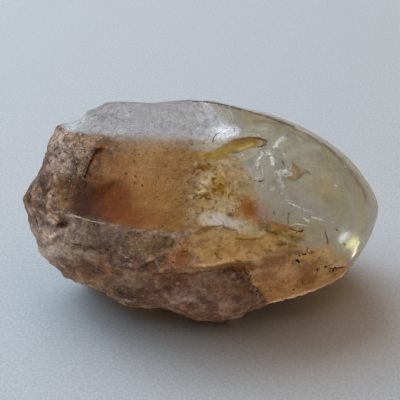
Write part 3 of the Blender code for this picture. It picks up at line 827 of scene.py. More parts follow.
def paint_outer():
    P, U, V = S["P"], S["U"], S["V"]
    X, Y = px_of(U, V)
    front = S["front"]
    N = S["N"]
    c = Canvas(X, Y, P, (96, 73, 59))
    n1, n2, n3 = c.noise(6.0, 4, 101), c.noise(2.2, 4, 102), c.noise(0.9, 3, 103)
    # the rind everywhere: mottled grey, brown and mauve
    c.lay(sstep(0.0, 0.5, n1) * 0.6, (74, 56, 46))
    c.lay(sstep(0.05, 0.5, -n1) * 0.5, (112, 92, 78))
    c.lay(sstep(0.1, 0.5, n2) * 0.45, (124, 100, 82))
    c.lay(sstep(0.15, 0.5, -n2) * 0.45, (78, 56, 46))
    b = Canvas(X, Y, P, (96, 73, 59))
    b.col = c.col.copy()
    b.kept = c.kept
    b.lay(sstep(0.05, 0.40, b.noise(8.0, 4, 201)) * 0.65, (126, 112, 100))
    b.lay(sstep(0.05, 0.40, -b.noise(8.0, 4, 201)) * 0.55, (66, 52, 46))
    b.lay(sstep(0.08, 0.40, b.noise(4.5, 4, 202)) * 0.55, (140, 106, 70))
    b.lay((1 - sstep(0.015, 0.07, np.abs(b.noise(6.5, 4, 203)))) * sstep(0.0, 0.3, b.noise(9.0, 2, 204)) * 0.6, (172, 158, 144))
    b.lay((1 - sstep(0.01, 0.05, np.abs(b.noise(5.0, 4, 205)))) * sstep(0.0, 0.3, b.noise(9.0, 2, 206)) * 0.6, (46, 34, 28))
    base_back = b.col
    # ---- broken end on the left
    c.area([(20, 200), (35, 165), (50, 125), (85, 110), (104, 140), (88, 165), (80, 180), (66, 215), (40, 235)], (112, 88, 76), 0.7, 4, 3)
    c.area([(50, 128), (82, 118), (100, 138), (92, 160), (76, 176), (52, 172), (42, 160)], (158, 136, 122), 0.7, 6, 3)
    c.area([(50, 136), (62, 126), (72, 130), (68, 160), (52, 166)], (196, 180, 170), 0.5, 6, 4)
    c.area([(33, 160), (50, 160), (52, 190), (34, 190)], (104, 72, 62), 0.6, 4, 3)
    # painted shade: the dark strip down the wall at the left of the hollow
    c.area([(70, 160), (90, 155), (86, 180), (84, 216), (70, 216), (66, 190)], (72, 56, 49), 0.75, 5, 2)
    c.stroke([(58, 174), (55, 190), (51, 204), (50, 216)], 4, (140, 110, 86), 0.55, 0.7, 2)
    c.blob(38, 186, 9, 14, (134, 114, 104), 0.6, 0, 0.9, 2)
    c.blob(46, 234, 20, 10, (146, 132, 122), 0.6, 10, 0.9, 3)
    c.blob(61, 200, 7, 11, (104, 76, 50), 0.8, 0, 0.4, 1)
    c.stroke([(52, 206), (64, 212), (70, 215)], 2.5, (150, 126, 104), 0.6)
    c.blob(33, 202, 7, 12, (98, 76, 66), 0.7)
    c.specks(sstep(100, 60, X) * sstep(110, 130, Y) * sstep(245, 225, Y), 0.75, 0.25, (58, 40, 34), 0.6, 1)
    c.specks(sstep(95, 60, X) * sstep(110, 125, Y) * sstep(240, 225, Y), 0.6, 0.42, (206, 192, 182), 0.4, 2)
    c.blob(62, 222, 7.5, 5.5, (58, 44, 38), 0.9, 0, 0.4, 1.5)
    # ---- rind below the ridge
    c.area([(66, 214), (95, 220), (130, 228), (130, 244), (100, 244), (70, 238)], (118, 104, 94), 0.65, 4, 3)
    c.area([(88, 222), (134, 230), (140, 268), (108, 268), (96, 250)], (80, 64, 56), 0.7, 7, 4)
    c.area([(126, 230), (192, 236), (186, 252), (160, 262), (138, 264), (128, 250)], (120, 95, 70), 0.75, 5, 3)
    c.area([(40, 240), (70, 240), (97, 247), (92, 262), (62, 268), (46, 256)], (126, 112, 96), 0.7, 4, 3)
    c.blob(48, 252, 9, 8, (150, 136, 122), 0.6)
    c.area([(56, 262), (104, 264), (120, 280), (96, 288), (66, 276)], (98, 70, 54), 0.6, 5, 4)
    c.blob(96, 281, 16, 5, (98, 78, 50), 0.5, 18)
    c.blob(110, 272, 10, 6, (122, 84, 60), 0.5)
    # painted shade: the dark underside at the bottom left, which faces down towards the floor
    c.area([(106, 288), (130, 282), (152, 290), (150, 308), (120, 306)], (58, 45, 37), 0.8, 5, 3)
    c.stroke([(70, 243), (84, 245), (97, 247)], 1.6, (70, 54, 45), 0.6)
    c.stroke([(132, 270), (150, 262), (168, 253)], 1.8, (78, 58, 44), 0.7)
    c.stroke([(146, 262), (162, 255), (176, 247)], 1.4, (150, 120, 92), 0.55)
    c.stroke([(140, 277), (160, 268), (182, 262)], 2.2, (138, 106, 82), 0.45)
    c.blob(182, 256, 15, 10, (116, 70, 40), 0.85, -25, 0.9, 3)
    c.blob(186, 256, 7, 6, (104, 60, 32), 0.5, -20, 0.9, 2)
    c.blob(188, 242, 8, 6, (136, 92, 56), 0.6)
    # painted highlight: the light line where the ridge catches the light, brightest at its left end
    c.stroke([(66, 215), (75, 216.5), (82, 219.5), (95, 222), (110, 225), (130, 230), (150, 232.5), (170, 234), (192, 235)], 1.8, (142, 120, 108), 0.55, 0.7, 0.4)
    c.stroke([(66, 215), (75, 216), (82, 218.5)], 1.2, (190, 176, 164), 0.7, 0.7, 0.3)
    blocks = sstep(184.0, 168.0, X + 4 * n2) * (1 - S["hollow"])
    wide, mid = c.noise(3.4, 3, 401), c.noise(1.7, 3, 402)
    c.lay(blocks * sstep(0.06, 0.40, wide) * 0.30, (124, 104, 86))
    c.lay(blocks * sstep(0.06, 0.40, -wide) * 0.35, (66, 50, 41))
    c.lay(blocks * sstep(0.10, 0.42, mid) * 0.30, (138, 116, 96))
    c.lay(blocks * sstep(0.10, 0.42, -mid) * 0.40, (60, 44, 36))
    c.lay(blocks * (1 - sstep(0.01, 0.06, np.abs(c.noise(3.0, 4, 403)))) * sstep(0.0, 0.3, c.noise(5.0, 2, 404)) * 0.35, (160, 142, 128))
    # ---- lump under the lip
    lump = c.area([(150, 276), (192, 273), (215, 268), (246, 268), (252, 284), (268, 304), (262, 325), (150, 330), (134, 300)], (88, 64, 52), 0.85, 3, 1.5)
    c.blob(180, 282, 16, 9, (100, 66, 52), 0.5)
    c.blob(178, 296, 12, 5, (142, 110, 94), 0.45, 10, 0.9, 3)
    c.blob(207, 287, 13, 14, (122, 100, 85), 0.7, 10, 0.9, 4)
    c.blob(172, 288, 14, 8, (64, 46, 37), 0.5, 0, 0.9, 3)
    c.blob(238, 286, 9, 10, (68, 50, 42), 0.45, 0, 0.9, 3)
    c.blob(214, 298, 10, 8, (116, 96, 82), 0.45, 0, 0.9, 3)
    c.blob(176, 303, 16, 5, (104, 84, 70), 0.5, -10, 0.9, 3)
    c.broken([(172, 302), (184, 300), (196, 303), (204, 309)], 1.6, (150, 130, 118), 0.6, 1.0, 0.8, 71, -0.2)
    c.broken([(196, 279), (206, 284), (214, 296), (222, 304)], 1.3, (54, 38, 30), 0.7, 1.0, 0.8, 72, -0.2)
    c.broken([(230, 272), (240, 276), (246, 284), (252, 294)], 1.6, (60, 42, 33), 0.7, 1.0, 0.8, 73, -0.2)
    c.specks(lump, 1.8, 0.12, (132, 102, 84), 0.4, 3, 0.3)
    c.specks(lump, 1.1, 0.18, (62, 44, 36), 0.5, 4, 0.2)
    c.specks(lump, 0.7, 0.34, (150, 124, 108), 0.3, 5, 0.2)
    c.blob(205, 288, 16, 12, (104, 80, 64), 0.6)
    c.blob(222, 290, 12, 10, (106, 76, 56), 0.6)
    c.blob(244, 292, 9, 14, (80, 54, 38), 0.7)
    c.blob(200, 306, 16, 5, (76, 53, 40), 0.5)
    c.blob(228, 306, 8, 3, (132, 104, 90), 0.4)
    # ---- amber hollow
    hl = S["hollow"] * front * (1 - sstep(186.0, 206.0, X + 4 * n2))
    a = Canvas(X, Y, P, (138, 106, 66))
    a.kept = c.kept
    a.blob(150, 160, 40, 22, (142, 111, 76), 0.8)
    a.blob(176, 165, 22, 24, (134, 102, 62), 0.7)
    a.blob(178, 210, 18, 26, (134, 101, 60), 0.7)
    a.blob(146, 196, 22, 22, (138, 100, 62), 0.8)
    a.blob(122, 158, 14, 14, (142, 106, 76), 0.6)
    a.area([(92, 176), (120, 174), (134, 188), (138, 228), (100, 224), (84, 190)], (112, 71, 52), 0.8, 12, 3)
    # painted shade: the left part of the hollow, shaded by the wall of the broken end
    a.area([(52, 172), (88, 174), (104, 196), (112, 226), (60, 224)], (80, 60, 50), 0.95, 10, 3)
    a.area([(98, 186), (128, 190), (136, 228), (104, 226)], (106, 68, 46), 0.4, 10, 3)
    a.blob(118, 208, 13, 15, (112, 64, 46), 0.6, 0, 0.9, 3)
    a.blob(148, 220, 20, 9, (122, 74, 48), 0.7, 10, 0.9, 3)
    a.blob(112, 160, 10, 14, (136, 92, 70), 0.6, 0, 0.9, 3)
    a.stroke([(134, 206), (150, 204), (166, 207)], 2.5, (150, 110, 66), 0.5)
    a.blob(112, 139, 16, 5, (172, 128, 102), 0.6)
    a.lay(sstep(156, 137, Y + 3 * n2) * 0.8, (156, 141, 124))
    a.lay(sstep(0.05, 0.5, n2) * 0.3, (150, 110, 66))
    a.lay(sstep(0.05, 0.5, -n2) * 0.3, (112, 76, 42))
    c.col = c.col * (1 - hl)[:, None] + a.col * hl[:, None]
    # painted shade on the left of the hollow, under the wall of the broken end
    c.area([(70, 172), (88, 170), (94, 188), (90, 216), (74, 216), (70, 192)], (70, 54, 47), 0.85 * S["hollow"], 5, 2)
    # crack between the broken end and the hollow
    c.stroke([(104, 148), (99, 150), (93, 154), (91, 160), (88, 166), (84, 180)], 1.6, (84, 52, 40), 0.6, 0.6, 0.6)
    # ---- the right half: garden near the surface, mist further in
    r = Canvas(X, Y, P, (140, 120, 90))
    r.kept = c.kept
    paint_picture(r)
    low = sstep(228.0, 236.0, Y)
    right = sstep(181.0 - 2.0 * low, 204.0 + 4.0 * low, X + 6 * n2 + 4 * n3) * sstep(-1.2, 0.6, V - along(LIP, U) + 0.4 * n2)
    right = np.maximum(right, sstep(-0.3, 0.5, U - across(LUMP_RIGHT, V)) * sstep(4.0, 7.5, U) * sstep(-8.5, -9.8, V))
    polished = right
    right = right * front
    c.col = c.col * (1 - right)[:, None] + r.col * right[:, None]
    # lip: painted shade on its underside, a dark line of painted shadow just under it, and the seams round the lump
    c.area([(188, 269), (196, 267.5), (215, 266), (226, 264), (249, 262), (262, 266), (250, 272), (215, 270)], (88, 54, 32), 0.85, 1.4, 0.5)
    c.stroke([(190, 274), (216, 270.5), (236, 270), (246, 272), (250, 280)], 1.2, (62, 42, 28), 0.5, 0.7, 0.8)
    c.stroke([(152, 275), (170, 273), (192, 273)], 1.2, (62, 44, 33), 0.6, 0.6, 0.8)
    c.stroke([(250, 277), (252, 284), (258, 289), (264, 296), (267, 304)], 1.2, (70, 50, 36), 0.45, 0.8, 1.4)
    # painted highlight: the pale line along the cut edge at the bottom of the cap
    edge = c.stroke([(268, 304), (280, 300), (292, 297), (304, 293.5), (318, 289), (330, 284), (340, 278), (348, 271)], 1.6, (184, 144, 106), 0.8, 0.6, 0.5)
    edge = edge * front
    # ---- frosted top face
    fd = inside_polygon(X + 3 * n2, Y + 2.4 * n3, FROST)
    fuzz = sstep(196.0, 182.0, X) * sstep(96.0, 110.0, X)
    fr = sstep(-1.5 - 4.0 * fuzz, 1.5 + 3.5 * fuzz + 5.0 * sstep(200.0, 225.0, X), fd) * front
    back_top = sstep(TOP_FACE - 2.6, TOP_FACE - 1.6, P[:, 2]) * (1 - sstep(-2.0, 4.0, P[:, 0]))
    fr = np.maximum(fr, back_top * (1 - front))
    t = Canvas(X, Y, P, (160, 156, 157))
    t.kept = c.kept
    t.lay(sstep(0.0, 0.5, n2) * 0.5, (174, 172, 176))
    t.lay(sstep(0.0, 0.5, -n2) * 0.45, (146, 139, 139))
    t.lay(sstep(0.1, 0.5, n1) * 0.4, (152, 144, 138))
    t.lay(sstep(0.05, 0.40, n3) * 0.45, (184, 184, 188))
    t.lay(sstep(0.05, 0.40, -n3) * 0.40, (140, 134, 134))
    # painted highlights: the bluish-white patches at the left corner of the top face
    t.blob(72, 119, 11, 6, (214, 222, 230), 0.6, -35, 0.9, 3)
    t.stroke([(112, 127), (140, 128), (170, 128)], 4, (170, 168, 188), 0.5)
    t.blob(76, 123, 12, 6, (222, 230, 234), 0.8, -25, 0.9, 2)
    t.blob(215, 116, 9, 9, (158, 166, 176), 0.6)
    # painted highlights: the bright line along the face's right edge and the bright patch where it turns into the dome
    t.stroke([(200, 100), (208, 105), (215, 112), (222, 119)], 1.2, (214, 218, 228), 0.6)
    t.blob(226, 132, 16, 7, (232, 236, 244), 0.85, -15)
    t.stroke([(100, 136), (130, 137), (160, 138), (190, 139), (206, 139)], 4.5, (172, 166, 162), 0.6, 0.9, 1.5)
    t.blob(205, 138, 14, 6, (164, 164, 160), 0.5)
    c.col = c.col * (1 - fr)[:, None] + t.col * fr[:, None]
    # painted shade: the dark line along the dome's top outline
    c.stroke([(186, 98), (204, 98), (222, 100.5), (240, 104.5), (256, 109)], 1.5, (104, 84, 72), 0.65 * front, 0.8, 0.6)
    # broken end: the nodule with its lit edge, painted shade in the fold beside it, pits and pale crests
    c.stroke([(77, 182), (79, 196), (80, 208), (80, 216)], 7.0, (74, 56, 47), 0.75 * front, 0.9, 2.0)
    c.blob(61, 196, 8.0, 13, (114, 86, 64), 0.7, 0, 0.9, 2.5)
    c.blob(62, 204, 5, 6, (134, 106, 82), 0.4, 0, 0.9, 2)
    c.broken([(54, 175), (57, 182), (54, 190), (51, 198), (48, 207)], 1.7, (184, 156, 130), 0.55 * front, 1.0, 0.8, 81, -0.2)
    c.broken([(50, 178), (52, 186), (49, 194), (46, 202)], 1.4, (160, 132, 112), 0.5 * front, 1.0, 0.8, 82, -0.1)
    c.stroke([(68, 182), (71, 192), (71, 202), (69, 210)], 2.6, (92, 68, 52), 0.7 * front, 0.8, 1.0)
    c.stroke([(39, 178), (42, 187), (46, 194), (50, 189)], 2.2, (66, 46, 38), 0.75 * front, 0.7, 0.8)
    c.stroke([(42, 205), (45, 214), (43, 224)], 2.2, (64, 46, 38), 0.65 * front, 0.7, 0.8)
    c.stroke([(36, 176), (33, 186), (34, 196)], 2.6, (150, 126, 112), 0.5 * front, 0.7, 0.8)
    c.blob(29.5, 201, 2.0, 2.6, (54, 26, 20), 0.9, 0, 0.7, 0.4)
    c.blob(46, 172, 5, 6, (142, 104, 94), 0.6, 0, 0.9, 2)
    c.stroke([(50, 168), (58, 165), (66, 163)], 4.0, (166, 142, 134), 0.55 * front, 0.8, 1.5)
    for x, y, r in ((57, 149, 2.4), (61, 161, 2.2), (56, 157, 1.8), (65, 152, 1.8), (52, 154, 1.5), (68, 160, 1.6), (60, 144, 1.6), (49, 163, 1.6)):
        c.blob(x, y, r, r * 0.8, (72, 56, 50), 0.8, 0, 0.7, 0.6)
    c.stroke([(56, 132), (60, 138), (62, 144)], 2.2, (196, 178, 164), 0.5 * front, 0.8, 1.0)
    c.stroke([(69, 137), (78, 141), (88, 140)], 3.0, (162, 132, 106), 0.5 * front, 0.8, 1.0)
    c.blob(60, 222, 9, 5, (74, 58, 48), 0.75, -10, 0.8, 1.5)
    c.stroke([(50, 236), (58, 232), (65, 229), (72, 225)], 1.8, (190, 166, 148), 0.6 * front, 0.7, 0.8)
    c.blob(52, 221, 3.0, 3.4, (196, 172, 152), 0.65, 0, 0.8, 0.8)
    c.blob(46, 238, 5, 4, (176, 156, 140), 0.5, 0, 0.8, 1.2)
    c.blob(72, 245, 9, 6, (126, 110, 96), 0.45, 0, 0.9, 2)
    c.blob(58, 250, 7, 5, (152, 140, 126), 0.45, 0, 0.9, 2)
    c.stroke([(101, 148), (98, 152), (96, 157)], 3.4, (98, 60, 36), 0.6 * front, 0.8, 0.8)
    for x, y, rx, ry, gain in ((94, 252, 24, 13, (-0.11, -0.15, -0.17)), (127, 275, 15, 11, (-0.16, -0.20, -0.27)), (172, 275, 28, 10, (-0.10, -0.20, -0.31)),
                               (127, 187, 16, 14, (0.10, 0.11, 0.10)), (148, 143, 14, 12, (-0.08, -0.09, -0.15)), (104, 143, 12, 12, (0.11, 0.04, -0.04)),
                               (61, 192, 13, 16, (-0.05, -0.08, -0.08)), (62, 228, 12, 10, (-0.10, -0.10, -0.08)), (84, 262, 16, 12, (-0.07, -0.09, -0.10)),
                               (193, 187, 12, 12, (0.06, 0.08, 0.03)), (170, 120, 44, 11, (0.06, 0.06, 0.02)), (84, 176, 12, 20, (-0.05, -0.06, -0.08))):
        c.col = c.col * (1 + c.near(x, y, rx, ry)[:, None] * np.array(gain))
    # what faces away keeps the plain rind
    keep = front[:, None]
    c.col = c.col * keep + (base_back * (1 - fr)[:, None] + t.col * fr[:, None]) * (1 - keep)
    # clearness: behind, the polish runs out into the rind along a ragged line
    x_, y_, z_ = P[:, 0], P[:, 1], P[:, 2]
    ragged = sstep(-1.6, 1.6, x_ - 0.25 * y_ + 0.1 * z_ - 0.5 + 4.5 * n1 + 2.2 * n2 + 1.2 * n3) * sstep(-15.2, -13.0, z_)
    ragged = ragged * (1 - sstep(TOP_FACE - 0.9, TOP_FACE - 0.35, z_) * (1 - sstep(1.0, 4.0, x_)))
    clear_f = clear_mask(X, Y, n2, n3) * polished * (1 - fr) * (1 - edge) * sstep(-1.0, 0.5, V - along(LIP, U) + 2.0 * sstep(6.0, 9.0, U) * 4)
    clear_b = 0.93 * ragged * S["solid_dome"]
    ledge = sstep(-4.0, 4.0, inside_polygon(X + 3 * n2, Y + 2 * n3, SHOULDER)) * front
    band = sstep(-11.0, -4.0, fd) * (1 - sstep(226.0, 236.0, X)) * sstep(190, 200, X) * (1 - sstep(128.0, 136.0, Y)) * front * (1 - fr)
    ledge = np.maximum(ledge, 0.85 * band) * (1 - fr)
    haze = np.clip(0.090 / daylight(N)[:, 1], 0.06, 0.24)
    clear = (front * clear_f * (1 - haze) + (1 - front) * clear_b) * (1 - ledge)
    # painted glints: the sparkle clusters are laid near white on the skin and made less clear
    spark = sparkle_mask(X + 0.6 * n3, Y + 0.6 * n2, c.noise(0.55, 2, 501)) * front
    rho = np.hypot(U, V) / outline_radius(np.arctan2(V, U))
    rim = sstep(0.978, 0.996, rho + 0.006 * n2) * sstep(196.0, 212.0, X) * sstep(0.0, 3.0, V + 9.0) * S["dome"] * sstep(-0.6, 0.8, S["w"])
    clear = clear * S["solid_dome"] * (1 - 0.35 * spark) * (1 - 0.30 * rim)
    # from the look of the lit stone to its own colour
    E = daylight(N)
    # painted shade: the dome's rim is laid darker brown
    c.col = blend_colour(c.col, lin(104, 92, 74), rim * 0.4)
    mirror = np.clip(N @ np.array((-0.220, -0.143, 0.965)), 0, 1) ** 6
    sheen = (0.010 + 0.035 * mirror) * (1 - fr) + 0.016 * ledge
    tint = np.array((0.85, 1.0, 1.2)) * (1 - hl)[:, None] + np.array((0.60, 0.72, 0.72)) * hl[:, None]
    shade = 1 + 0.14 * (1 - fr) * (1 - right) - 0.05 * hl - 0.20 * fr + 0.12 * right - 0.20 * lump * (1 - right)
    col = (c.col * shade[:, None] - sheen[:, None] * tint) * (1 + clear)[:, None] / E
    col = np.maximum(col, 0.006)
    col = col / np.maximum(1.0, col.max(1) / 0.9)[:, None]
    col = blend_colour(col, np.array((0.95, 0.925, 0.86)), sstep(0.58, 0.775, clear))
    # painted glints laid near white
    col = blend_colour(col, np.array((0.93, 0.93, 0.93)), 0.6 * spark)
    colour_attribute(crystal.data, "paint", col)
    attribute(crystal.data, "clear", np.clip(clear, 0, 1))
    polish = np.maximum(right, (1 - front) * ragged) * (1 - fr) * S["solid_dome"]
    gloss = 0.85 + 0.08 * hl - 0.35 * fr
    attribute(crystal.data, "gloss", gloss * (1 - polish) + (0.04 + 0.80 * np.maximum(ledge, 0.4 * rim)) * polish + 0.22 * c.near(349, 243, 16, 16) * polish)
    attribute(crystal.data, "rough", (1 - polish) * (1 - 0.6 * hl) * (1 - 0.35 * fr) * (1 - 0.25 * lump * front))
    cluster = sstep(-0.1, 0.45, c.noise(3.0, 3, 333))
    dots = 0.15 * (1 - 0.5 * lump * front) * (1 - polish) * (1 - hl) * (1 - fr) + (0.12 + 0.34 * cluster) * hl + 0.14 * fr
    dots = dots + 0.30 * cluster * polish * (1 - sstep(0.5, 0.8, clear))
    attribute(crystal.data, "speck", np.clip(dots, 0, 1))
    attribute(crystal.data, "mottle", polish * (1 - sstep(0.3, 0.75, clear)))


paint_outer()


class Nodes:
    """Short hand for building a shader."""

    def __init__(self, material):
        material.use_nodes = True
        self.nt = material.node_tree
        self.shader = self.nt.nodes["Principled BSDF"]
        self.coords = self.nt.nodes.new("ShaderNodeTexCoord").outputs["Object"]

    def put(self, socket, value):
        if isinstance(value, bpy.types.NodeSocket):
            self.nt.links.new(value, socket)
        else:
            socket.default_value = value

    def math(self, operation, *values, clamp=False):
        n = self.nt.nodes.new("ShaderNodeMath")
        n.operation = operation
        n.use_clamp = clamp
        for s, v in zip(n.inputs, values):
            self.put(s, v)
        return n.outputs[0]

    def ramp(self, value, a, b, c, d):
        n = self.nt.nodes.new("ShaderNodeMapRange")
        n.interpolation_type = "SMOOTHSTEP"
        for s, v in zip(n.inputs, (value, a, b, c, d)):
            self.put(s, v)
        return n.outputs[0]

    def attr(self, name, output="Fac"):
        n = self.nt.nodes.new("ShaderNodeAttribute")
        n.attribute_name = name
        return n.outputs[output]

    def noise(self, scale, detail=3.0, roughness=0.6):
        n = self.nt.nodes.new("ShaderNodeTexNoise")
        n.inputs["Scale"].default_value = scale
        n.inputs["Detail"].default_value = detail
        n.inputs["Roughness"].default_value = roughness
        self.nt.links.new(self.coords, n.inputs["Vector"])
        return n.outputs["Fac"]

    def cells(self, scale, feature="F1"):
        n = self.nt.nodes.new("ShaderNodeTexVoronoi")
        n.feature = feature
        n.inputs["Scale"].default_value = scale
        warp = self.nt.nodes.new("ShaderNodeTexNoise")
        warp.inputs["Scale"].default_value = scale * 1.4
        warp.inputs["Detail"].default_value = 2.0
        self.nt.links.new(self.coords, warp.inputs["Vector"])
        add = self.nt.nodes.new("ShaderNodeVectorMath")
        add.operation = "MULTIPLY_ADD"
        self.nt.links.new(warp.outputs["Color"], add.inputs[0])
        add.inputs[1].default_value = (0.9 / scale,) * 3
        self.nt.links.new(self.coords, add.inputs[2])
        self.nt.links.new(add.outputs[0], n.inputs["Vector"])
        return n

    def dots(self, scale, share, radius):
        """Small irregular dots: 1 on a dot. The share of cells that hold one comes from an attribute."""
        v = self.cells(scale)
        split = self.nt.nodes.new("ShaderNodeSeparateColor")
        self.nt.links.new(v.outputs["Color"], split.inputs[0])
        size = self.math("MULTIPLY_ADD", self.math("POWER", split.outputs[1], 2.0), radius, radius * 0.3)
        on = self.math("LESS_THAN", split.outputs[0], share)
        edge = self.math("MULTIPLY", size, 0.55)
        spot = self.ramp(v.outputs["Distance"], edge, size, 1.0, 0.0)
        return self.math("MULTIPLY", spot, on)

    def scaled(self, colour, factor):
        n = self.nt.nodes.new("ShaderNodeVectorMath")
        n.operation = "SCALE"
        self.put(n.inputs[0], colour)
        self.put(n.inputs["Scale"], factor)
        return n.outputs["Vector"]

    def bump(self, height, distance, strength):
        n = self.nt.nodes.new("ShaderNodeBump")
        n.inputs["Distance"].default_value = distance
        self.put(n.inputs["Strength"], strength)
        self.nt.links.new(height, n.inputs["Height"])
        self.nt.links.new(n.outputs["Normal"], self.shader.inputs["Normal"])


def quartz_material():
    m = bpy.data.materials.new("quartz")
    k = Nodes(m)
    sh = k.shader
    rough, speck = k.attr("rough"), k.attr("speck")
    fine, coarse = k.noise(2600.0, 5.0, 0.65), k.noise(900.0, 4.0, 0.6)
    veins = k.cells(700.0, "DISTANCE_TO_EDGE")
    dark = k.dots(1500.0, k.math("MULTIPLY", speck, 0.9), 0.34)
    darker = k.dots(2900.0, k.math("MULTIPLY", speck, 0.8), 0.36)
    light = k.dots(1900.0, k.math("MULTIPLY", speck, 0.45), 0.34)
    # grain of the rough parts: shade from two noises, pits, and the seams between grains
    shade = k.math("MULTIPLY", k.ramp(fine, 0.32, 0.68, 0.74, 1.25), k.ramp(coarse, 0.30, 0.70, 0.76, 1.24))
    seam = k.ramp(veins.outputs["Distance"], 0.0, 0.10, 0.80, 1.0)
    shade = k.math("MULTIPLY", shade, seam)
    shade = k.math("ADD", 1.0, k.math("MULTIPLY", k.math("SUBTRACT", shade, 1.0), rough))
    for scale, amount in ((650.0, 0.15), (1700.0, 0.12)):
        split = k.nt.nodes.new("ShaderNodeSeparateColor")
        k.nt.links.new(k.cells(scale).outputs["Color"], split.inputs[0])
        block = k.math("MULTIPLY", k.math("SUBTRACT", split.outputs[2], 0.5), k.math("MULTIPLY", amount * 2.0, rough))
        shade = k.math("ADD", shade, block)
    mottle = k.math("MULTIPLY", k.ramp(k.noise(1700.0, 4.0, 0.65), 0.32, 0.68, -0.20, 0.20), k.attr("mottle"))
    shade = k.math("ADD", shade, mottle)
    shade = k.math("MULTIPLY", shade, k.math("SUBTRACT", 1.0, k.math("MULTIPLY", dark, 0.62)))
    shade = k.math("MULTIPLY", shade, k.math("SUBTRACT", 1.0, k.math("MULTIPLY", darker, 0.5)))
    shade = k.math("MULTIPLY", shade, k.math("ADD", 1.0, k.math("MULTIPLY", light, 0.38)))
    k.put(sh.inputs["Base Color"], k.scaled(k.attr("paint", "Color"), shade))
    k.put(sh.inputs["Roughness"], k.attr("gloss"))
    k.put(sh.inputs["Transmission Weight"], k.attr("clear"))
    height = k.math("ADD", fine, k.math("MULTIPLY", k.ramp(veins.outputs["Distance"], 0.0, 0.14, 0.0, 1.0), 0.6))
    height = k.math("SUBTRACT", height, k.math("MULTIPLY", dark, 0.5))
    k.bump(height, 0.00016, k.math("MULTIPLY", rough, 0.9))
    sh.inputs["IOR"].default_value = 1.544
    absorb = k.nt.nodes.new("ShaderNodeVolumeAbsorption")
    absorb.inputs["Color"].default_value = (0.80, 0.72, 0.56, 1.0)
    absorb.inputs["Density"].default_value = 55.0
    k.nt.links.new(absorb.outputs[0], k.nt.nodes["Material Output"].inputs["Volume"])
    return m


crystal.data.materials.append(quartz_material())
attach(crystal, "root")
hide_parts("lodolite_crystal")


# ---------------------------------------------------------------- what is sealed inside
MIDDLE = np.array((8.5, -1.0, 0.0))         # middle of the mist, in plane axes
GARDEN_CELLS = 118


def garden_points():
    d, quads = cube_sphere(GARDEN_CELLS)
    d = d + np.array((0.0, 0.0, 0.25))
    d /= np.linalg.norm(d, axis=1)[:, None]
    high = np.full(len(d), 45.0)
    low = np.full(len(d), 0.0)
    done = np.zeros(len(d), bool)
    for r in np.arange(1.0, 45.0, 1.0):
        out = (body_at(MIDDLE + d * r) > 0) & ~done
        high = np.where(out, r, high)
        low = np.where(out, r - 1.0, low)
        done |= out
    for _ in range(12):
        mid = (low + high) / 2
        inside = body_at(MIDDLE + d * mid[:, None]) < 0
        low = np.where(inside, mid, low)
        high = np.where(inside, high, mid)
    r = low
    left = (MIDDLE[0] + 6.0) / np.maximum(-d[:, 0], 1e-3)
    r = np.minimum(r * 0.925, r - 0.9)
    h = np.clip(0.5 + 0.5 * (left - r) / 3.0, 0, 1)
    r = left + (r - left) * h - 3.0 * h * (1 - h)
    return d, quads, r


def apparent_px(Q, faces):
    """The picture pixel at which each point of an inner surface is seen through the polished skin."""
    from mathutils.bvhtree import BVHTree
    from mathutils.kdtree import KDTree
    tree = BVHTree.FromPolygons([tuple(q) for q in Q], [tuple(int(i) for i in f) for f in faces])
    gx, gy = np.meshgrid(np.arange(172.0, 378.0, 1.5), np.arange(92.0, 326.0, 1.5))
    gx, gy = gx.ravel(), gy.ravel()
    U, V = at_px(gx, gy)
    inside = np.hypot(U, V) < outline_radius(np.arctan2(V, U)) * 0.996
    gx, gy = gx[inside], gy[inside]
    E, t, n, found = look_in(gx, gy)
    hits, px = [], []
    for e, way, x, y, ok in zip(E, t, gx, gy, found):
        if not ok:
            continue
        place, normal, index, distance = tree.ray_cast(Vector(e), Vector(way))
        if place is not None:
            hits.append(tuple(place))
            px.append((x, y))
    hits, px = np.array(hits), np.array(px)
    kd = KDTree(len(hits))
    for i, p in enumerate(hits):
        kd.insert(p, i)
    kd.balance()
    count = 7
    near = np.empty((len(Q), count), int)
    gap = np.empty((len(Q), count))
    for i, q in enumerate(Q):
        for j, (_, k, dist) in enumerate(kd.find_n(q, count)):
            near[i, j], gap[i, j] = k, dist
    rel = hits[near] - Q[:, None, :]
    wgt = 1 / (gap ** 2 + 0.01)
    # a weighted straight-line fit through the neighbours, read off at the point itself
    A = np.concatenate((np.ones((len(Q), count, 1)), rel), 2)
    ATA = np.einsum("nki,nk,nkj->nij", A, wgt, A) + np.eye(4) * np.array((0, 0.02, 0.02, 0.02)) * wgt.sum(1)[:, None, None]
    ATb = np.einsum("nki,nk,nkj->nij", A, wgt, px[near])
    fit = np.linalg.solve(ATA, ATb)[:, 0, :]
    return fit[:, 0], fit[:, 1], gap[:, 0]


def build_garden():
    d, quads, r = garden_points()
    Q = MIDDLE + d * r[:, None]
    X, Y, gap = apparent_px(Q, quads)
    P = to_stone(Q)
    P[:, 2] = np.maximum(P[:, 2], FOOT + 0.8)
    ob = new_mesh("garden", P, quads)
    return ob, dict(P=P, X=X, Y=Y, gap=gap)


garden, G = build_garden()


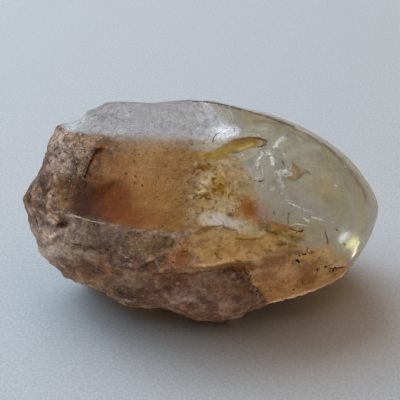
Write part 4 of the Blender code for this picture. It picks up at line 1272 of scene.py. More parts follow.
def paint_garden():
    me = garden.data
    me.calc_loop_triangles()
    c = Canvas(G["X"], G["Y"], G["P"], (140, 128, 108))
    seen = 1 - sstep(0.6, 1.6, G["gap"])
    behind = c.col.copy()
    n1 = c.noise(6.0, 4, 101)
    g = paint_picture(c)
    plain = Canvas(G["X"], G["Y"], G["P"], (146, 136, 116))
    plain.kept = c.kept
    plain.lay(sstep(0.0, 0.6, n1) * 0.5, (130, 112, 84))
    plain.lay(sstep(-6.0, -9.0, G["P"][:, 2]) * 0.8, (124, 88, 56))
    c.col = c.col * seen[:, None] + plain.col * (1 - seen)[:, None]
    N = np.empty(len(me.vertices) * 3)
    me.vertices.foreach_get("normal", N)
    veiled = 1 - g * seen * (1 - sstep(235.0, 275.0, G["X"]))
    wanted = np.maximum((c.col - 0.085) * 2.06, c.col * 0.8) * veiled[:, None] + (c.col * 1.45 - 0.015) * (1 - veiled)[:, None]
    e = np.maximum(wanted, 0.004) / daylight(N.reshape(-1, 3))
    colour_attribute(me, "paint", np.clip(e / (0.35 + 0.6 * e), 0.005, 0.985))
    mist = 0.80 + 0.35 * c.noise(4.0, 4, 301) + 0.15 * c.noise(1.6, 3, 302)
    full = np.maximum(g, 1 - sstep(258.0, 280.0, G["X"])) * seen
    solid = np.clip(mist * (1 - full) + full, 0.3, 1.0)
    attribute(me, "solid", solid)
    attribute(me, "speck", g * seen * 0.5)


def garden_material():
    m = bpy.data.materials.new("garden")
    k = Nodes(m)
    sh = k.shader
    speck = k.attr("speck")
    shade = k.math("SUBTRACT", 1.0, k.math("MULTIPLY", k.dots(1500.0, speck, 0.3), 0.6))
    shade = k.math("MULTIPLY", shade, k.math("SUBTRACT", 1.0, k.math("MULTIPLY", k.dots(2700.0, speck, 0.34), 0.5)))
    shade = k.math("MULTIPLY", shade, k.ramp(k.noise(1500.0, 4.0), 0.3, 0.7, 0.88, 1.12))
    k.put(sh.inputs["Base Color"], k.scaled(k.attr("paint", "Color"), shade))
    k.put(sh.inputs["Alpha"], k.attr("solid"))
    k.bump(k.noise(1800.0, 4.0), 0.0001, 0.4)
    sh.inputs["Roughness"].default_value = 1.0
    sh.inputs["Specular IOR Level"].default_value = 0.0
    sh.inputs["Subsurface Weight"].default_value = 1.0
    sh.inputs["Subsurface Radius"].default_value = (1.0, 0.9, 0.75)
    sh.inputs["Subsurface Scale"].default_value = 0.012
    return m


paint_garden()
garden.data.materials.append(garden_material())
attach(garden, "root")


# ---------------------------------------------------------------- single things in the clear skin
def under_px(X, Y, depth):
    """Points seen at these pixels, this many millimetres in along the bent sight line, in plane axes."""
    E, t, n, ok = look_in(X, Y)
    return E + t * np.asarray(depth)[:, None], E, t, n


def outline_points(pts, count):
    p = np.array(list(pts) + [pts[0]], float)
    run = np.concatenate(([0], np.cumsum(np.hypot(*np.diff(p, axis=0).T))))
    s = np.linspace(0, run[-1], count, endpoint=False)
    return np.stack((np.interp(s, run, p[:, 0]), np.interp(s, run, p[:, 1])), 1)


def blade_mesh(pts, centre, depth, thick, tilt=(0.0, 0.0), ragged=0.4, count=56, rings=8, seed=0):
    """A thin closed flake: its outline is drawn in the picture, its middle is thickest. The tilt is depth per pixel."""
    b = outline_points(pts, count)
    jag = fbm(np.stack((b[:, 0], b[:, 1], np.full(count, seed * 3.1)), 1), 3.0, 3, 71 + seed)
    away = b - np.array(centre)
    b = b + away / (np.hypot(*away.T)[:, None] + 1e-6) * (jag * ragged)[:, None] * 2
    px, level = [np.array([centre])], [np.array([0.0])]
    for k in range(1, rings + 1):
        f = k / rings
        px.append(np.array(centre) + (b - np.array(centre)) * f)
        level.append(np.full(count, f))
    px, level = np.concatenate(px), np.concatenate(level)
    lean = (px[:, 0] - centre[0]) * tilt[0] + (px[:, 1] - centre[1]) * tilt[1]
    rise = thick * np.sqrt(np.clip(1 - level ** 2, 0, 1)) / 2
    top, _, _, n = under_px(px[:, 0], px[:, 1], depth + lean - rise)
    low, _, _, _ = under_px(px[:, 0], px[:, 1], depth + lean + rise)
    N = len(px)
    verts = np.concatenate((top, low[: N - count]))
    faces = []

    def ring(k, side):
        if k == rings or side == 0:
            return [1 + (k - 1) * count + i for i in range(count)]
        return [N + 1 + (k - 1) * count + i for i in range(count)]

    for side in (0, 1):
        mid = 0 if side == 0 else N
        first = ring(1, side)
        for i in range(count):
            tri = (mid, first[i], first[(i + 1) % count])
            faces.append(tri if side == 0 else tri[::-1])
        for k in range(1, rings):
            a, c = ring(k, side), ring(k + 1, side)
            for i in range(count):
                j = (i + 1) % count
                quad = (a[i], c[i], c[j], a[j])
                faces.append(quad if side == 0 else quad[::-1])
    X = np.concatenate((px[:, 0], px[: N - count, 0]))
    Y = np.concatenate((px[:, 1], px[: N - count, 1]))
    return verts, faces, X, Y


def thread_mesh(pts, width, depth, wander=0.5, seed=0, sides=7):
    """A fine closed thread along a line drawn in the picture; width in pixels, tapered to its ends."""
    p = np.array(pts, float)
    run = np.concatenate(([0], np.cumsum(np.hypot(*np.diff(p, axis=0).T))))
    count = max(5, int(run[-1] / 0.5))
    s = np.linspace(0, run[-1], count)
    X, Y = np.interp(s, run, p[:, 0]), np.interp(s, run, p[:, 1])
    keys = np.stack((s, np.full(count, seed * 7.3), np.zeros(count)), 1)
    X = X + wander * fbm(keys, 3.0, 3, 5 + seed)
    Y = Y + wander * fbm(keys, 3.0, 3, 25 + seed)
    d = np.interp(s, (0, run[-1]), depth if isinstance(depth, tuple) else (depth, depth))
    Q, _, _, _ = under_px(X, Y, d)
    f = s / run[-1]
    r = 0.5 * width * PX * (0.25 + 0.75 * np.sqrt(np.clip(4 * f * (1 - f), 0, 1))) * (1 + 0.5 * fbm(keys, 1.2, 2, 45 + seed))
    way = np.gradient(Q, axis=0)
    way /= np.linalg.norm(way, axis=1)[:, None] + 1e-9
    side = np.cross(way, np.array((0.13, 0.21, 0.97)))
    side /= np.linalg.norm(side, axis=1)[:, None]
    up = np.cross(way, side)
    verts, faces = [Q[0] - way[0] * r[0]], []
    for i in range(count):
        for k in range(sides):
            a = 2 * math.pi * k / sides
            verts.append(Q[i] + (side[i] * math.cos(a) + up[i] * math.sin(a)) * r[i])
    verts.append(Q[-1] + way[-1] * r[-1])
    last = len(verts) - 1
    for k in range(sides):
        j = (k + 1) % sides
        faces.append((0, 1 + j, 1 + k))
        faces.append((last, 1 + (count - 1) * sides + k, 1 + (count - 1) * sides + j))
    for i in range(count - 1):
        for k in range(sides):
            j = (k + 1) % sides
            a, b = 1 + i * sides, 1 + (i + 1) * sides
            faces.append((a + k, a + j, b + j, b + k))
    px = np.concatenate(([X[0]], np.repeat(X, sides), [X[-1]])), np.concatenate(([Y[0]], np.repeat(Y, sides), [Y[-1]]))
    return np.array(verts), faces, px[0], px[1]


def chip_mesh(x, y, a, b, depth, turn, facing, seed=0, count=11):
    """A small bright chip, a by b pixels, whose flat side looks the given way in stone axes."""
    Q, _, t, _ = under_px(np.array([x]), np.array([y]), np.array([depth]))
    middle = to_stone(Q)[0]
    n = np.array(facing, float)
    n /= np.linalg.norm(n)
    across_way = np.cross((0.0, 0.0, 1.0), n) if abs(n[2]) < 0.95 else np.cross((0.0, 1.0, 0.0), n)
    across_way /= np.linalg.norm(across_way)
    up = np.cross(n, across_way)
    c, s = math.cos(math.radians(turn)), math.sin(math.radians(turn))
    e1, e2 = across_way * c + up * s, -across_way * s + up * c
    verts = [middle + n * 0.10 * PX * min(a, b), middle - n * 0.10 * PX * min(a, b)]
    for k in range(count):
        ang = 2 * math.pi * k / count
        rad = 1 + 0.35 * hash3(np.array(k), np.array(seed), np.array(3), 7) - 0.2
        verts.append(middle + e1 * math.cos(ang) * a * PX * 0.5 * rad + e2 * math.sin(ang) * b * PX * 0.5 * rad)
    faces = []
    for k in range(count):
        j = (k + 1) % count
        faces.append((0, 2 + k, 2 + j))
        faces.append((1, 2 + j, 2 + k))
    v = np.array(verts)
    return v, faces, np.full(len(v), x), np.full(len(v), y)


class Sealed:
    """Gathers small closed meshes into one piece."""

    def __init__(self, name):
        self.name, self.v, self.f, self.x, self.y, self.count = name, [], [], [], [], 0

    def add(self, mesh, stone_axes=False, sealed=True):
        v, f, x, y = mesh
        if sealed:
            p = np.stack(to_plane(*v.T), 1) if stone_axes else v
            if body_at(p).max() > -0.05:
                print("left out, not inside the stone:", self.name, round(float(x[0]), 1), round(float(y[0]), 1), round(float(body_at(p).max()), 2))
                return
        self.v.append(v if stone_axes else to_stone(v))
        self.f += [tuple(i + self.count for i in face) for face in f]
        self.x.append(x)
        self.y.append(y)
        self.count += len(v)

    def build(self, paint, material, smooth=True):
        P = np.concatenate(self.v)
        ob = new_mesh(self.name, P, self.f, smooth)
        c = Canvas(np.concatenate(self.x), np.concatenate(self.y), P, (150, 140, 120))
        paint(c)
        colour_attribute(ob.data, "paint", np.clip(c.col, 0.004, 0.98))
        ob.data.materials.append(material)
        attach(ob, "root")
        return ob


def sealed_material(name, roughness, specular, grain=0.25):
    m = bpy.data.materials.new(name)
    k = Nodes(m)
    shade = k.ramp(k.noise(2400.0, 4.0, 0.65), 0.3, 0.7, 1 - grain, 1 + grain)
    k.put(k.shader.inputs["Base Color"], k.scaled(k.attr("paint", "Color"), shade))
    k.bump(k.noise(3000.0, 3.0), 0.00008, 0.5)
    k.shader.inputs["Roughness"].default_value = roughness
    k.shader.inputs["Specular IOR Level"].default_value = specular
    return m


def boosted(c, amount):
    """Paint under the skin comes out darker than it is: mix it brighter."""
    e = c.col * amount
    c.col = e / (0.35 + 0.6 * e)


BRIGHT_WAY = np.array((-0.30, 0.05, 0.95))
matte = sealed_material("inclusion", 1.0, 0.0)
bright = sealed_material("fracture", 0.3, 0.5, 0.1)

# the golden sliver, and the small one under it
gold = Sealed("sliver")
gold.add(blade_mesh(((269, 140), (262, 138.2), (255, 136.8), (246, 137), (238, 138.4), (236, 143), (236, 151.5), (246, 149.5), (256, 147.5), (263, 144.5), (268, 141.5)),
                    (250, 143), 0.75, 0.5, (0.0, 0.02), 0.15, 64, 9, 1))
gold.add(blade_mesh(((257.5, 147.3), (261, 146.6), (264, 145), (267.5, 143.6), (266, 145.4), (262, 147)), (263, 145.9), 0.6, 0.15, (0.0, 0.0), 0.1, 28, 4, 2))
gold.add(blade_mesh(((252, 137.4), (258, 137.3), (264, 138.6), (270.5, 141.6), (266, 142.2), (261, 143.6), (255, 145), (251, 142)), (258, 140.8), 0.6, 0.3, (0.0, 0.02), 0.1, 36, 5, 3))


def paint_gold(c):
    c.lay(np.ones(len(c.X)), (134, 102, 46))
    paint_sliver(c)
    c.stroke([(258, 147), (263, 146), (267, 144)], 1.2, (92, 58, 26), 0.95, 0.6, 0.1)
    boosted(c, 1.9)


gold.build(paint_gold, matte)

# the orange flake with its pale neighbour
flake = Sealed("flake")
flake.add(blade_mesh(((292, 160.5), (297, 164), (303, 168), (309, 172.5), (304, 174), (300, 178), (296, 180.5), (290, 181), (287, 179), (290, 174), (288, 168), (291, 165)),
                     (296, 172), 0.8, 0.5, (0.02, 0.0), 0.25, 56, 8, 3))


def paint_flake(c):
    c.lay(np.ones(len(c.X)), (138, 108, 54))
    # painted shade: the dark line down the flake's fold
    c.stroke([(292, 162), (297, 168), (300, 174), (298, 179)], 2.4, (88, 60, 18), 0.95, 0.7, 0.5)
    c.blob(301, 170, 4, 2.6, (134, 104, 40), 0.85, 30)
    c.stroke([(309, 172.5), (304, 174), (300, 178), (296, 180.5)], 1.1, (70, 46, 22), 0.9, 0.7, 0.4)
    # painted highlights along its edges
    c.stroke([(291, 165), (289, 169), (290.5, 174)], 1.0, (206, 176, 138), 0.8, 0.7, 0.4)
    c.stroke([(293, 161), (299, 165), (305, 169)], 1.0, (182, 166, 104), 0.85, 0.6, 0.3)
    c.blob(291, 174, 3, 3.5, (172, 112, 62), 0.8)
    c.stroke([(287, 179.5), (292, 178), (297, 179.5)], 0.9, (118, 74, 44), 0.8, 0.6, 0.3)
    boosted(c, 1.75)


flake.build(paint_flake, matte)

pale = Sealed("pale_flakes")
for k, (x, y, rx, ry) in enumerate(((281, 175, 3.4, 5.5), (286, 172, 4.5, 3.2), (279, 181, 2.2, 4.0), (291, 172.5, 2.2, 2.0), (287, 176, 2.4, 1.6), (282, 187, 3.0, 2.2), (258.5, 158, 1.6, 4.5), (258.5, 167, 1.4, 5.0), (262, 153, 2.4, 1.4))):
    ring = [(x + rx * math.cos(a), y + ry * math.sin(a)) for a in np.linspace(0, 2 * math.pi, 12, endpoint=False)]
    pale.add(blade_mesh(ring, (x, y), 0.95, 0.35, (0.03, 0.05), 0.6, 30, 5, 10 + k))


def paint_pale(c):
    c.lay(np.ones(len(c.X)), (226, 220, 208))
    c.lay(sstep(0.0, 0.4, c.noise(0.6, 3, 77)) * 0.7, (150, 136, 116))
    boosted(c, 1.8)



# bright broken places: fracture chips laid near white as painted glints
chips = Sealed("fracture_glint_chips")
for k, (x, y, a, b, turn) in enumerate((
        (281, 140.5, 4.5, 2.2, 20), (277.5, 143, 3.5, 2.4, 50), (279.5, 142, 2.5, 2, 0), (275, 146.5, 4.5, 2.2, -20), (276.5, 148, 2.0, 1.4, 0),
        (284.2, 154, 2.6, 3.0, 80), (268.5, 153.5, 4.5, 2.2, 30), (270, 157, 1.6, 4.0, 10), (272.5, 159.5, 1.4, 4.5, 0), (273, 164, 3.6, 3.2, 30), (271.5, 161.5, 1.4, 3, 0),
        (263, 152.5, 3.4, 1.8, 0), (259, 157.8, 4.6, 1.6, 5), (257.5, 160.3, 3.0, 1.0, 0), (258.5, 163.2, 3.8, 1.5, 0), (257.5, 166, 2.4, 1.1, 0), (252.5, 171, 1.6, 1.2, 0),
        (241, 153.5, 2.4, 1.5, 20), (243.5, 156, 1.5, 1.2, 0), (335.3, 185.6, 2.2, 1.2, 0), (270, 150, 3.0, 1.6, 10), (282, 147, 1.4, 2.4, 0), (279, 139.5, 3.4, 1.8, 35), (274, 152, 3.0, 2.0, 60), (272, 155.5, 2.2, 2.6, 20), (276, 144.5, 3.0, 1.6, 10), (260.5, 155, 3.0, 1.3, 5), (283, 143, 1.8, 1.4, 30))):
    chips.add(chip_mesh(x, y, a, b, 0.6, turn, BRIGHT_WAY + 0.25 * (hash3(np.array(k), np.array(1), np.array(2), 5) - 0.5), k), True)
# the chips at the right tip carry the painted glint there, white and lemon
for k, (x, y, a, b, turn) in enumerate(((344, 239.5, 6, 4, 60), (343, 243, 5, 2, 10), (352, 247, 6, 2.5, 20), (357, 246.5, 4, 2.5, 20), (355, 254.5, 2.5, 4.0, 25))):
    chips.add(chip_mesh(x, y, a, b, 0.5, turn, BRIGHT_WAY + np.array((0.1, -0.3, 0)), 50 + k), True)


def paint_glint_chips(c):
    c.lay(np.ones(len(c.X)), (250, 250, 246))
    # lemon and pale orange: the colours of the painted glint at the right tip
    c.lay(sstep(348.5, 350.0, c.X), (232, 224, 130))
    c.lay(sstep(252.0, 254.0, c.Y) * sstep(350, 353, c.X), (226, 190, 140))


chips.build(paint_glint_chips, bright, False)
pale.build(paint_pale, matte)

# pale veils: thin threads of mist
veil = Sealed("veils")
for k, (pts, wide, deep) in enumerate((
        (((304, 218.6), (307, 220.2), (309.5, 221.6)), 2.0, 0.7), (((311, 216.6), (314, 217.6), (318, 218.6), (323.5, 220.6)), 1.3, 0.6),
        (((287.5, 202.6), (292, 204), (296, 206.6), (300, 208)), 1.4, 0.8), (((300, 208.5), (306, 210.5), (312, 212)), 1.0, 0.8),
        (((331.5, 222), (334.5, 222.3)), 1.4, 0.7), (((332, 267), (337, 265.6), (341, 264.2), (347, 263)), 1.3, 0.7),
        (((289, 225.4), (296, 223.8), (301, 224.6), (307, 226)), 1.0, 0.7), (((262, 163), (262.5, 170), (263, 178)), 1.4, 0.9),
        (((254, 152), (255, 162), (255.5, 176)), 1.2, 0.9), (((344, 165), (346, 168)), 1.6, 0.8))):
    veil.add(thread_mesh(pts, wide, deep, 0.6, 60 + k))


def paint_veil(c):
    c.lay(np.ones(len(c.X)), (200, 192, 174))
    c.lay(c.near(299, 225, 12, 3), (186, 170, 116))
    boosted(c, 1.9)


veil.build(paint_veil, matte)


# ---------------------------------------------------------------- cracks and veins on the outside, and thin dark lines of painted shadow under the lip
class OnSkin:
    """Places points of the picture on the finished outer surface."""

    def __init__(self):
        me = crystal.data
        co = np.empty(len(me.vertices) * 3)
        me.vertices.foreach_get("co", co)
        self.co = co.reshape(-1, 3) * 1000.0
        self.tree = BVHTree.FromPolygons([tuple(p) for p in self.co], [tuple(p.vertices) for p in me.polygons])

    def place(self, X, Y, lift):
        eye = EYE * 1000.0
        out = []
        for x, y in zip(X, Y):
            U, V = at_px(x, y)
            target = world_mm(U, V, 0.0)
            way = (target - eye).normalized()
            hit, normal, _, _ = self.tree.ray_cast(eye, way)
            if hit is None:
                out.append(None)
                continue
            out.append(np.array(hit + normal * lift) - np.array(HOME))
        return out


def skin_thread(skin, pts, width, lift, wander=0.5, seed=0, sides=6):
    p = np.array(pts, float)
    run = np.concatenate(([0], np.cumsum(np.hypot(*np.diff(p, axis=0).T))))
    count = max(5, int(run[-1] / 0.6))
    s = np.linspace(0, run[-1], count)
    keys = np.stack((s, np.full(count, seed * 7.3), np.zeros(count)), 1)
    X = np.interp(s, run, p[:, 0]) + wander * fbm(keys, 3.0, 3, 5 + seed)
    Y = np.interp(s, run, p[:, 1]) + wander * fbm(keys, 3.0, 3, 25 + seed)
    Q = skin.place(X, Y, lift)
    keep = [i for i in range(count) if Q[i] is not None]
    if len(keep) < 4:
        return None
    X, Y, s, keys = X[keep], Y[keep], s[keep], keys[keep]
    Q = np.array([Q[i] for i in keep])
    f = s / run[-1]
    r = 0.5 * width * PX * (0.25 + 0.75 * np.sqrt(np.clip(4 * f * (1 - f), 0, 1))) * (1 + 0.8 * fbm(keys, 1.2, 2, 45 + seed))
    way = np.gradient(Q, axis=0)
    way /= np.linalg.norm(way, axis=1)[:, None] + 1e-9
    side = np.cross(way, np.array((0.13, -0.61, 0.57)))
    side /= np.linalg.norm(side, axis=1)[:, None] + 1e-9
    up = np.cross(way, side)
    count = len(Q)
    verts, faces = [Q[0] - way[0] * r[0]], []
    for i in range(count):
        for k in range(sides):
            a = 2 * math.pi * k / sides
            verts.append(Q[i] + (side[i] * math.cos(a) + up[i] * math.sin(a)) * r[i])
    verts.append(Q[-1] + way[-1] * r[-1])
    last = len(verts) - 1
    for k in range(sides):
        j = (k + 1) % sides
        faces.append((0, 1 + j, 1 + k))
        faces.append((last, 1 + (count - 1) * sides + k, 1 + (count - 1) * sides + j))
    for i in range(count - 1):
        for k in range(sides):
            j = (k + 1) % sides
            a, b = 1 + i * sides, 1 + (i + 1) * sides
            faces.append((a + k, a + j, b + j, b + k))
    gx = np.concatenate(([X[0]], np.repeat(X, sides), [X[-1]]))
    gy = np.concatenate(([Y[0]], np.repeat(Y, sides), [Y[-1]]))
    return np.array(verts), faces, gx, gy


skin = OnSkin()
veins = Sealed("veins")
for k, (pts, wide) in enumerate((
        (((103.5, 148.5), (100, 150), (95, 152.5), (92.5, 156), (91, 161), (88.5, 167), (86, 174), (84, 180)), 1.7),
        (((103, 148), (98, 149), (94, 150.5)), 1.3), (((84, 180), (86, 184), (83, 190)), 0.7),
        (((135, 270), (142, 266.5), (150, 262.5), (158, 258), (166, 254)), 0.6),
        # the thin lines from 152,275 to 240,271 are painted shadow just under the lip
        (((152, 275), (160, 273.8), (170, 273)), 0.6), (((176, 273.2), (183, 273.6), (190, 274)), 0.5), (((196, 272.8), (204, 271.6), (214, 270.6)), 0.4), (((224, 270.2), (232, 270), (240, 271)), 0.4),
        (((246, 272), (250, 277), (252, 284)), 0.35), (((257, 288.5), (262, 294), (266, 300)), 0.35),
        (((72, 243.8), (78, 244.5), (84, 246)), 0.6), (((130, 296), (136, 297.5), (141, 297)), 0.9),
        (((29, 193), (31, 196), (30, 199)), 0.9), (((34, 214), (37, 222), (39, 230)), 0.6))):
    made = skin_thread(skin, pts, wide, 0.0, 0.8, 200 + k)
    if made is not None:
        veins.add(made, True, False)


def paint_veins(c):
    c.lay(np.ones(len(c.X)), (44, 30, 22))
    c.lay(c.near(95, 160, 16, 24), (74, 44, 24))
    c.lay(sstep(-0.1, 0.4, c.noise(0.9, 2, 91)) * 0.6, (74, 54, 42))


veins.build(paint_veins, matte)


# dark dendrites and fine cracks
dark = Sealed("dendrites")
for k, (pts, wide, deep) in enumerate((
        (((272.8, 210.5), (274, 211.5), (274.3, 213), (275.3, 215)), 1.5, 0.7),
        (((288.8, 213), (288.4, 215.5)), 2.6, 0.7), (((288.4, 215), (288, 219), (288.3, 223), (289.2, 228)), 1.1, 0.7),
        (((287.5, 213.5), (288.6, 214.6), (290, 213.8)), 1.2, 0.7),
        (((296, 233), (298, 231.6), (300.5, 231.3), (303.4, 230)), 1.3, 0.8), (((301.5, 230.8), (303.4, 230.1)), 1.8, 0.8),
        (((289, 228), (293, 229.5), (297, 231.5)), 0.8, 0.8),
        (((298.5, 255.8), (300.5, 255.2)), 1.6, 0.8), (((301.5, 253.2), (303, 254.6), (305.2, 254), (306.5, 252.8)), 1.3, 0.8), (((304.6, 254.4), (306, 253.8)), 2.0, 0.8),
        (((307, 247), (307, 250), (308.5, 253), (310.5, 253.5)), 0.8, 0.8), (((311, 251.8), (312.3, 251.3)), 1.4, 0.8),
        (((295, 261), (297, 260.4), (299, 261.6), (298.6, 263.4)), 2.2, 0.8),
        (((323, 266.4), (325.5, 267), (328, 265.8)), 2.0, 0.8), (((330, 269), (332.5, 268.6), (334.5, 267.5), (337, 268.4), (341, 267.4), (345, 266.8)), 1.3, 0.8),
        (((333, 268), (333.6, 270.6), (332.4, 272)), 1.4, 0.8), (((333.5, 274.5), (336, 274.2)), 1.7, 0.8), (((329, 270.5), (329.6, 272.5)), 1.0, 0.8),
        (((345, 272.6), (348, 271.6)), 1.6, 0.8), (((317, 268), (317.2, 271)), 1.2, 0.8), (((302.3, 281), (302.5, 285)), 1.0, 0.8),
        (((258, 181.2), (260.5, 181.4), (263.2, 179.8)), 1.0, 0.7), (((306.5, 170.5), (309, 173), (311.5, 174)), 0.9, 0.7),
        (((325, 231), (326.2, 236), (327.6, 240), (327.8, 245)), 0.8, 0.8), (((344.5, 243), (344.7, 245.5)), 1.2, 0.8),
        (((282.6, 160.5), (283.8, 163.5), (284.6, 166.5)), 1.1, 0.7), (((281, 186), (283, 187.4)), 1.0, 0.8),
        (((221, 131.3), (219, 133), (216.5, 134.5), (214, 137), (212.8, 140), (213.6, 141.2)), 0.9, 0.3),
        (((336.5, 229), (337.5, 231)), 1.6, 0.9), (((282, 281), (284, 280.6)), 1.0, 0.8), (((292.5, 290), (294.5, 289.6)), 1.4, 0.8))):
    if pts[0][1] > 226.0 or pts[0][0] < 262.0:
        made = skin_thread(skin, pts, wide * 0.9, 0.0, 0.5, 400 + k)
        if made is not None:
            dark.add(made, True, False)
    else:
        dark.add(thread_mesh(pts, wide, deep * 0.5, 0.5, k))


def paint_dark(c):
    c.lay(np.ones(len(c.X)), (34, 26, 14))
    c.lay(sstep(0.0, 0.4, c.noise(0.8, 2, 78)) * 0.6, (70, 50, 22))


dark.build(paint_dark, matte)

# ---------------------------------------------------------------- specks: mineral grains in and on the surface, and painted glints
def scatter(skin, count, zone, size, seed, threshold=0.0, cluster=3.0, depth=None, stretch=1.0):
    """Small irregular closed grains inside a drawn zone, gathered where a noise is high."""
    rng = np.random.default_rng(seed)
    z = np.array(zone, float)
    out = []
    tries = rng.uniform(z.min(0), z.max(0), (count * 14, 2))
    inside = inside_polygon(tries[:, 0], tries[:, 1], zone) > 0.5
    tries = tries[inside]
    level = fbm(np.stack((tries[:, 0] * PX, tries[:, 1] * PX, np.full(len(tries), seed * 1.7)), 1), cluster, 3, seed)
    tries = tries[level > threshold][:count]
    if depth is None:
        places = skin.place(tries[:, 0], tries[:, 1], 0.0)
    else:
        Q, _, _, _ = under_px(tries[:, 0], tries[:, 1], rng.uniform(depth[0], depth[1], len(tries)))
        ok = body_at(Q) < -0.12
        places = [p if o else None for p, o in zip(to_stone(Q), ok)]
    for (x, y), place in zip(tries, places):
        if place is None:
            continue
        r = 0.5 * PX * (size[0] + (size[1] - size[0]) * rng.random() ** 2.5)
        axes = rng.normal(size=(3, 3))
        axes, _ = np.linalg.qr(axes)
        long = r * (1 + stretch * rng.random())
        lengths = (long, r * rng.uniform(0.7, 1.1), r * rng.uniform(0.6, 1.0))
        verts = [place + s * axes[k] * lengths[k] * rng.uniform(0.8, 1.2) for k in range(3) for s in (1, -1)]
        faces = [(0, 2, 4), (2, 1, 4), (1, 3, 4), (3, 0, 4), (2, 0, 5), (1, 2, 5), (3, 1, 5), (0, 3, 5)]
        if np.linalg.det(axes) < 0:
            faces = [f[::-1] for f in faces]
        out.append((np.array(verts), faces, np.full(6, x), np.full(6, y)))
    return out


AMBER_ZONE = ((100, 150), (196, 146), (192, 228), (150, 228), (108, 220), (96, 190))
RIND_ZONE = ((34, 190), (62, 214), (130, 230), (190, 240), (190, 268), (150, 274), (140, 300), (100, 290), (60, 266), (40, 240))
END_ZONE = ((50, 128), (82, 120), (100, 140), (84, 182), (70, 214), (36, 214), (30, 180))
TOP_ZONE = ((66, 126), (80, 112), (120, 104), (200, 104), (232, 128), (200, 138), (90, 134))
TOP_EDGE_ZONE = ((70, 127), (110, 120), (200, 122), (240, 128), (206, 139), (100, 136))
GARDEN_ZONE = ((190, 156), (236, 158), (256, 182), (264, 208), (240, 204), (200, 206), (188, 196))
CHALK_ZONE = ((198, 206), (240, 204), (272, 222), (274, 236), (240, 236), (200, 230))
YELLOW_ZONE = ((196, 234), (262, 240), (262, 262), (198, 264))
LUMP_ZONE = ((150, 280), (196, 276), (246, 272), (264, 304), (230, 314), (160, 306))
BASE_ZONE = ((258, 262), (300, 252), (340, 262), (338, 278), (274, 300), (262, 284))
BASE_DARK_ZONE = ((296, 246), (314, 246), (346, 262), (344, 276), (322, 272), (300, 262))
FLECK_ZONE = ((262, 206), (292, 212), (312, 228), (300, 244), (270, 236))
SEAM_ZONE = ((242, 266), (248, 266), (256, 284), (268, 300), (264, 304), (252, 290))
SKIRT_ZONE = ((258, 268), (268, 268), (274, 298), (266, 302))

dark_grains, pale_grains = Sealed("dark_grains"), Sealed("pale_grains")
for k, (count, zone, size, threshold, cluster) in enumerate((
        (150, AMBER_ZONE, (0.4, 1.1), 0.05, 4.0), (150, RIND_ZONE, (0.5, 1.5), 0.0, 3.0), (120, END_ZONE, (0.6, 1.8), 0.0, 2.4),
        (40, TOP_ZONE, (0.4, 1.0), 0.0, 5.0), (70, TOP_EDGE_ZONE, (0.4, 1.1), 0.05, 3.0), (170, GARDEN_ZONE, (0.4, 1.3), 0.0, 1.8),
        (110, CHALK_ZONE, (0.4, 1.1), 0.0, 1.8), (50, YELLOW_ZONE, (0.4, 1.0), 0.1, 2.5), (80, LUMP_ZONE, (0.5, 1.3), 0.1, 3.0),
        (90, BASE_ZONE, (0.4, 1.2), 0.05, 1.8), (60, BASE_DARK_ZONE, (0.6, 1.7), 0.0, 1.6), (34, FLECK_ZONE, (0.4, 1.2), 0.0, 2.0), (90, SEAM_ZONE, (0.6, 2.0), -0.1, 1.4))):
    for made in scatter(skin, count, zone, size, 700 + k, threshold, cluster, None, 1.6):
        dark_grains.add(made, True, False)
for k, (count, zone, size, threshold, cluster) in enumerate((
        (60, AMBER_ZONE, (0.4, 1.0), 0.1, 4.0), (120, RIND_ZONE, (0.5, 1.4), 0.05, 2.5), (110, END_ZONE, (0.5, 1.6), 0.0, 2.4),
        (70, TOP_ZONE, (0.4, 1.0), 0.0, 4.0), (120, TOP_EDGE_ZONE, (0.4, 1.3), 0.0, 3.0), (110, GARDEN_ZONE, (0.5, 1.4), 0.0, 1.6),
        (120, CHALK_ZONE, (0.5, 1.6), 0.0, 2.0), (60, LUMP_ZONE, (0.5, 1.4), 0.1, 3.0), (90, BASE_ZONE, (0.5, 1.5), 0.05, 2.0))):
    for made in scatter(skin, count, zone, size, 780 + k, threshold, cluster, None, 1.2):
        pale_grains.add(made, True, False)
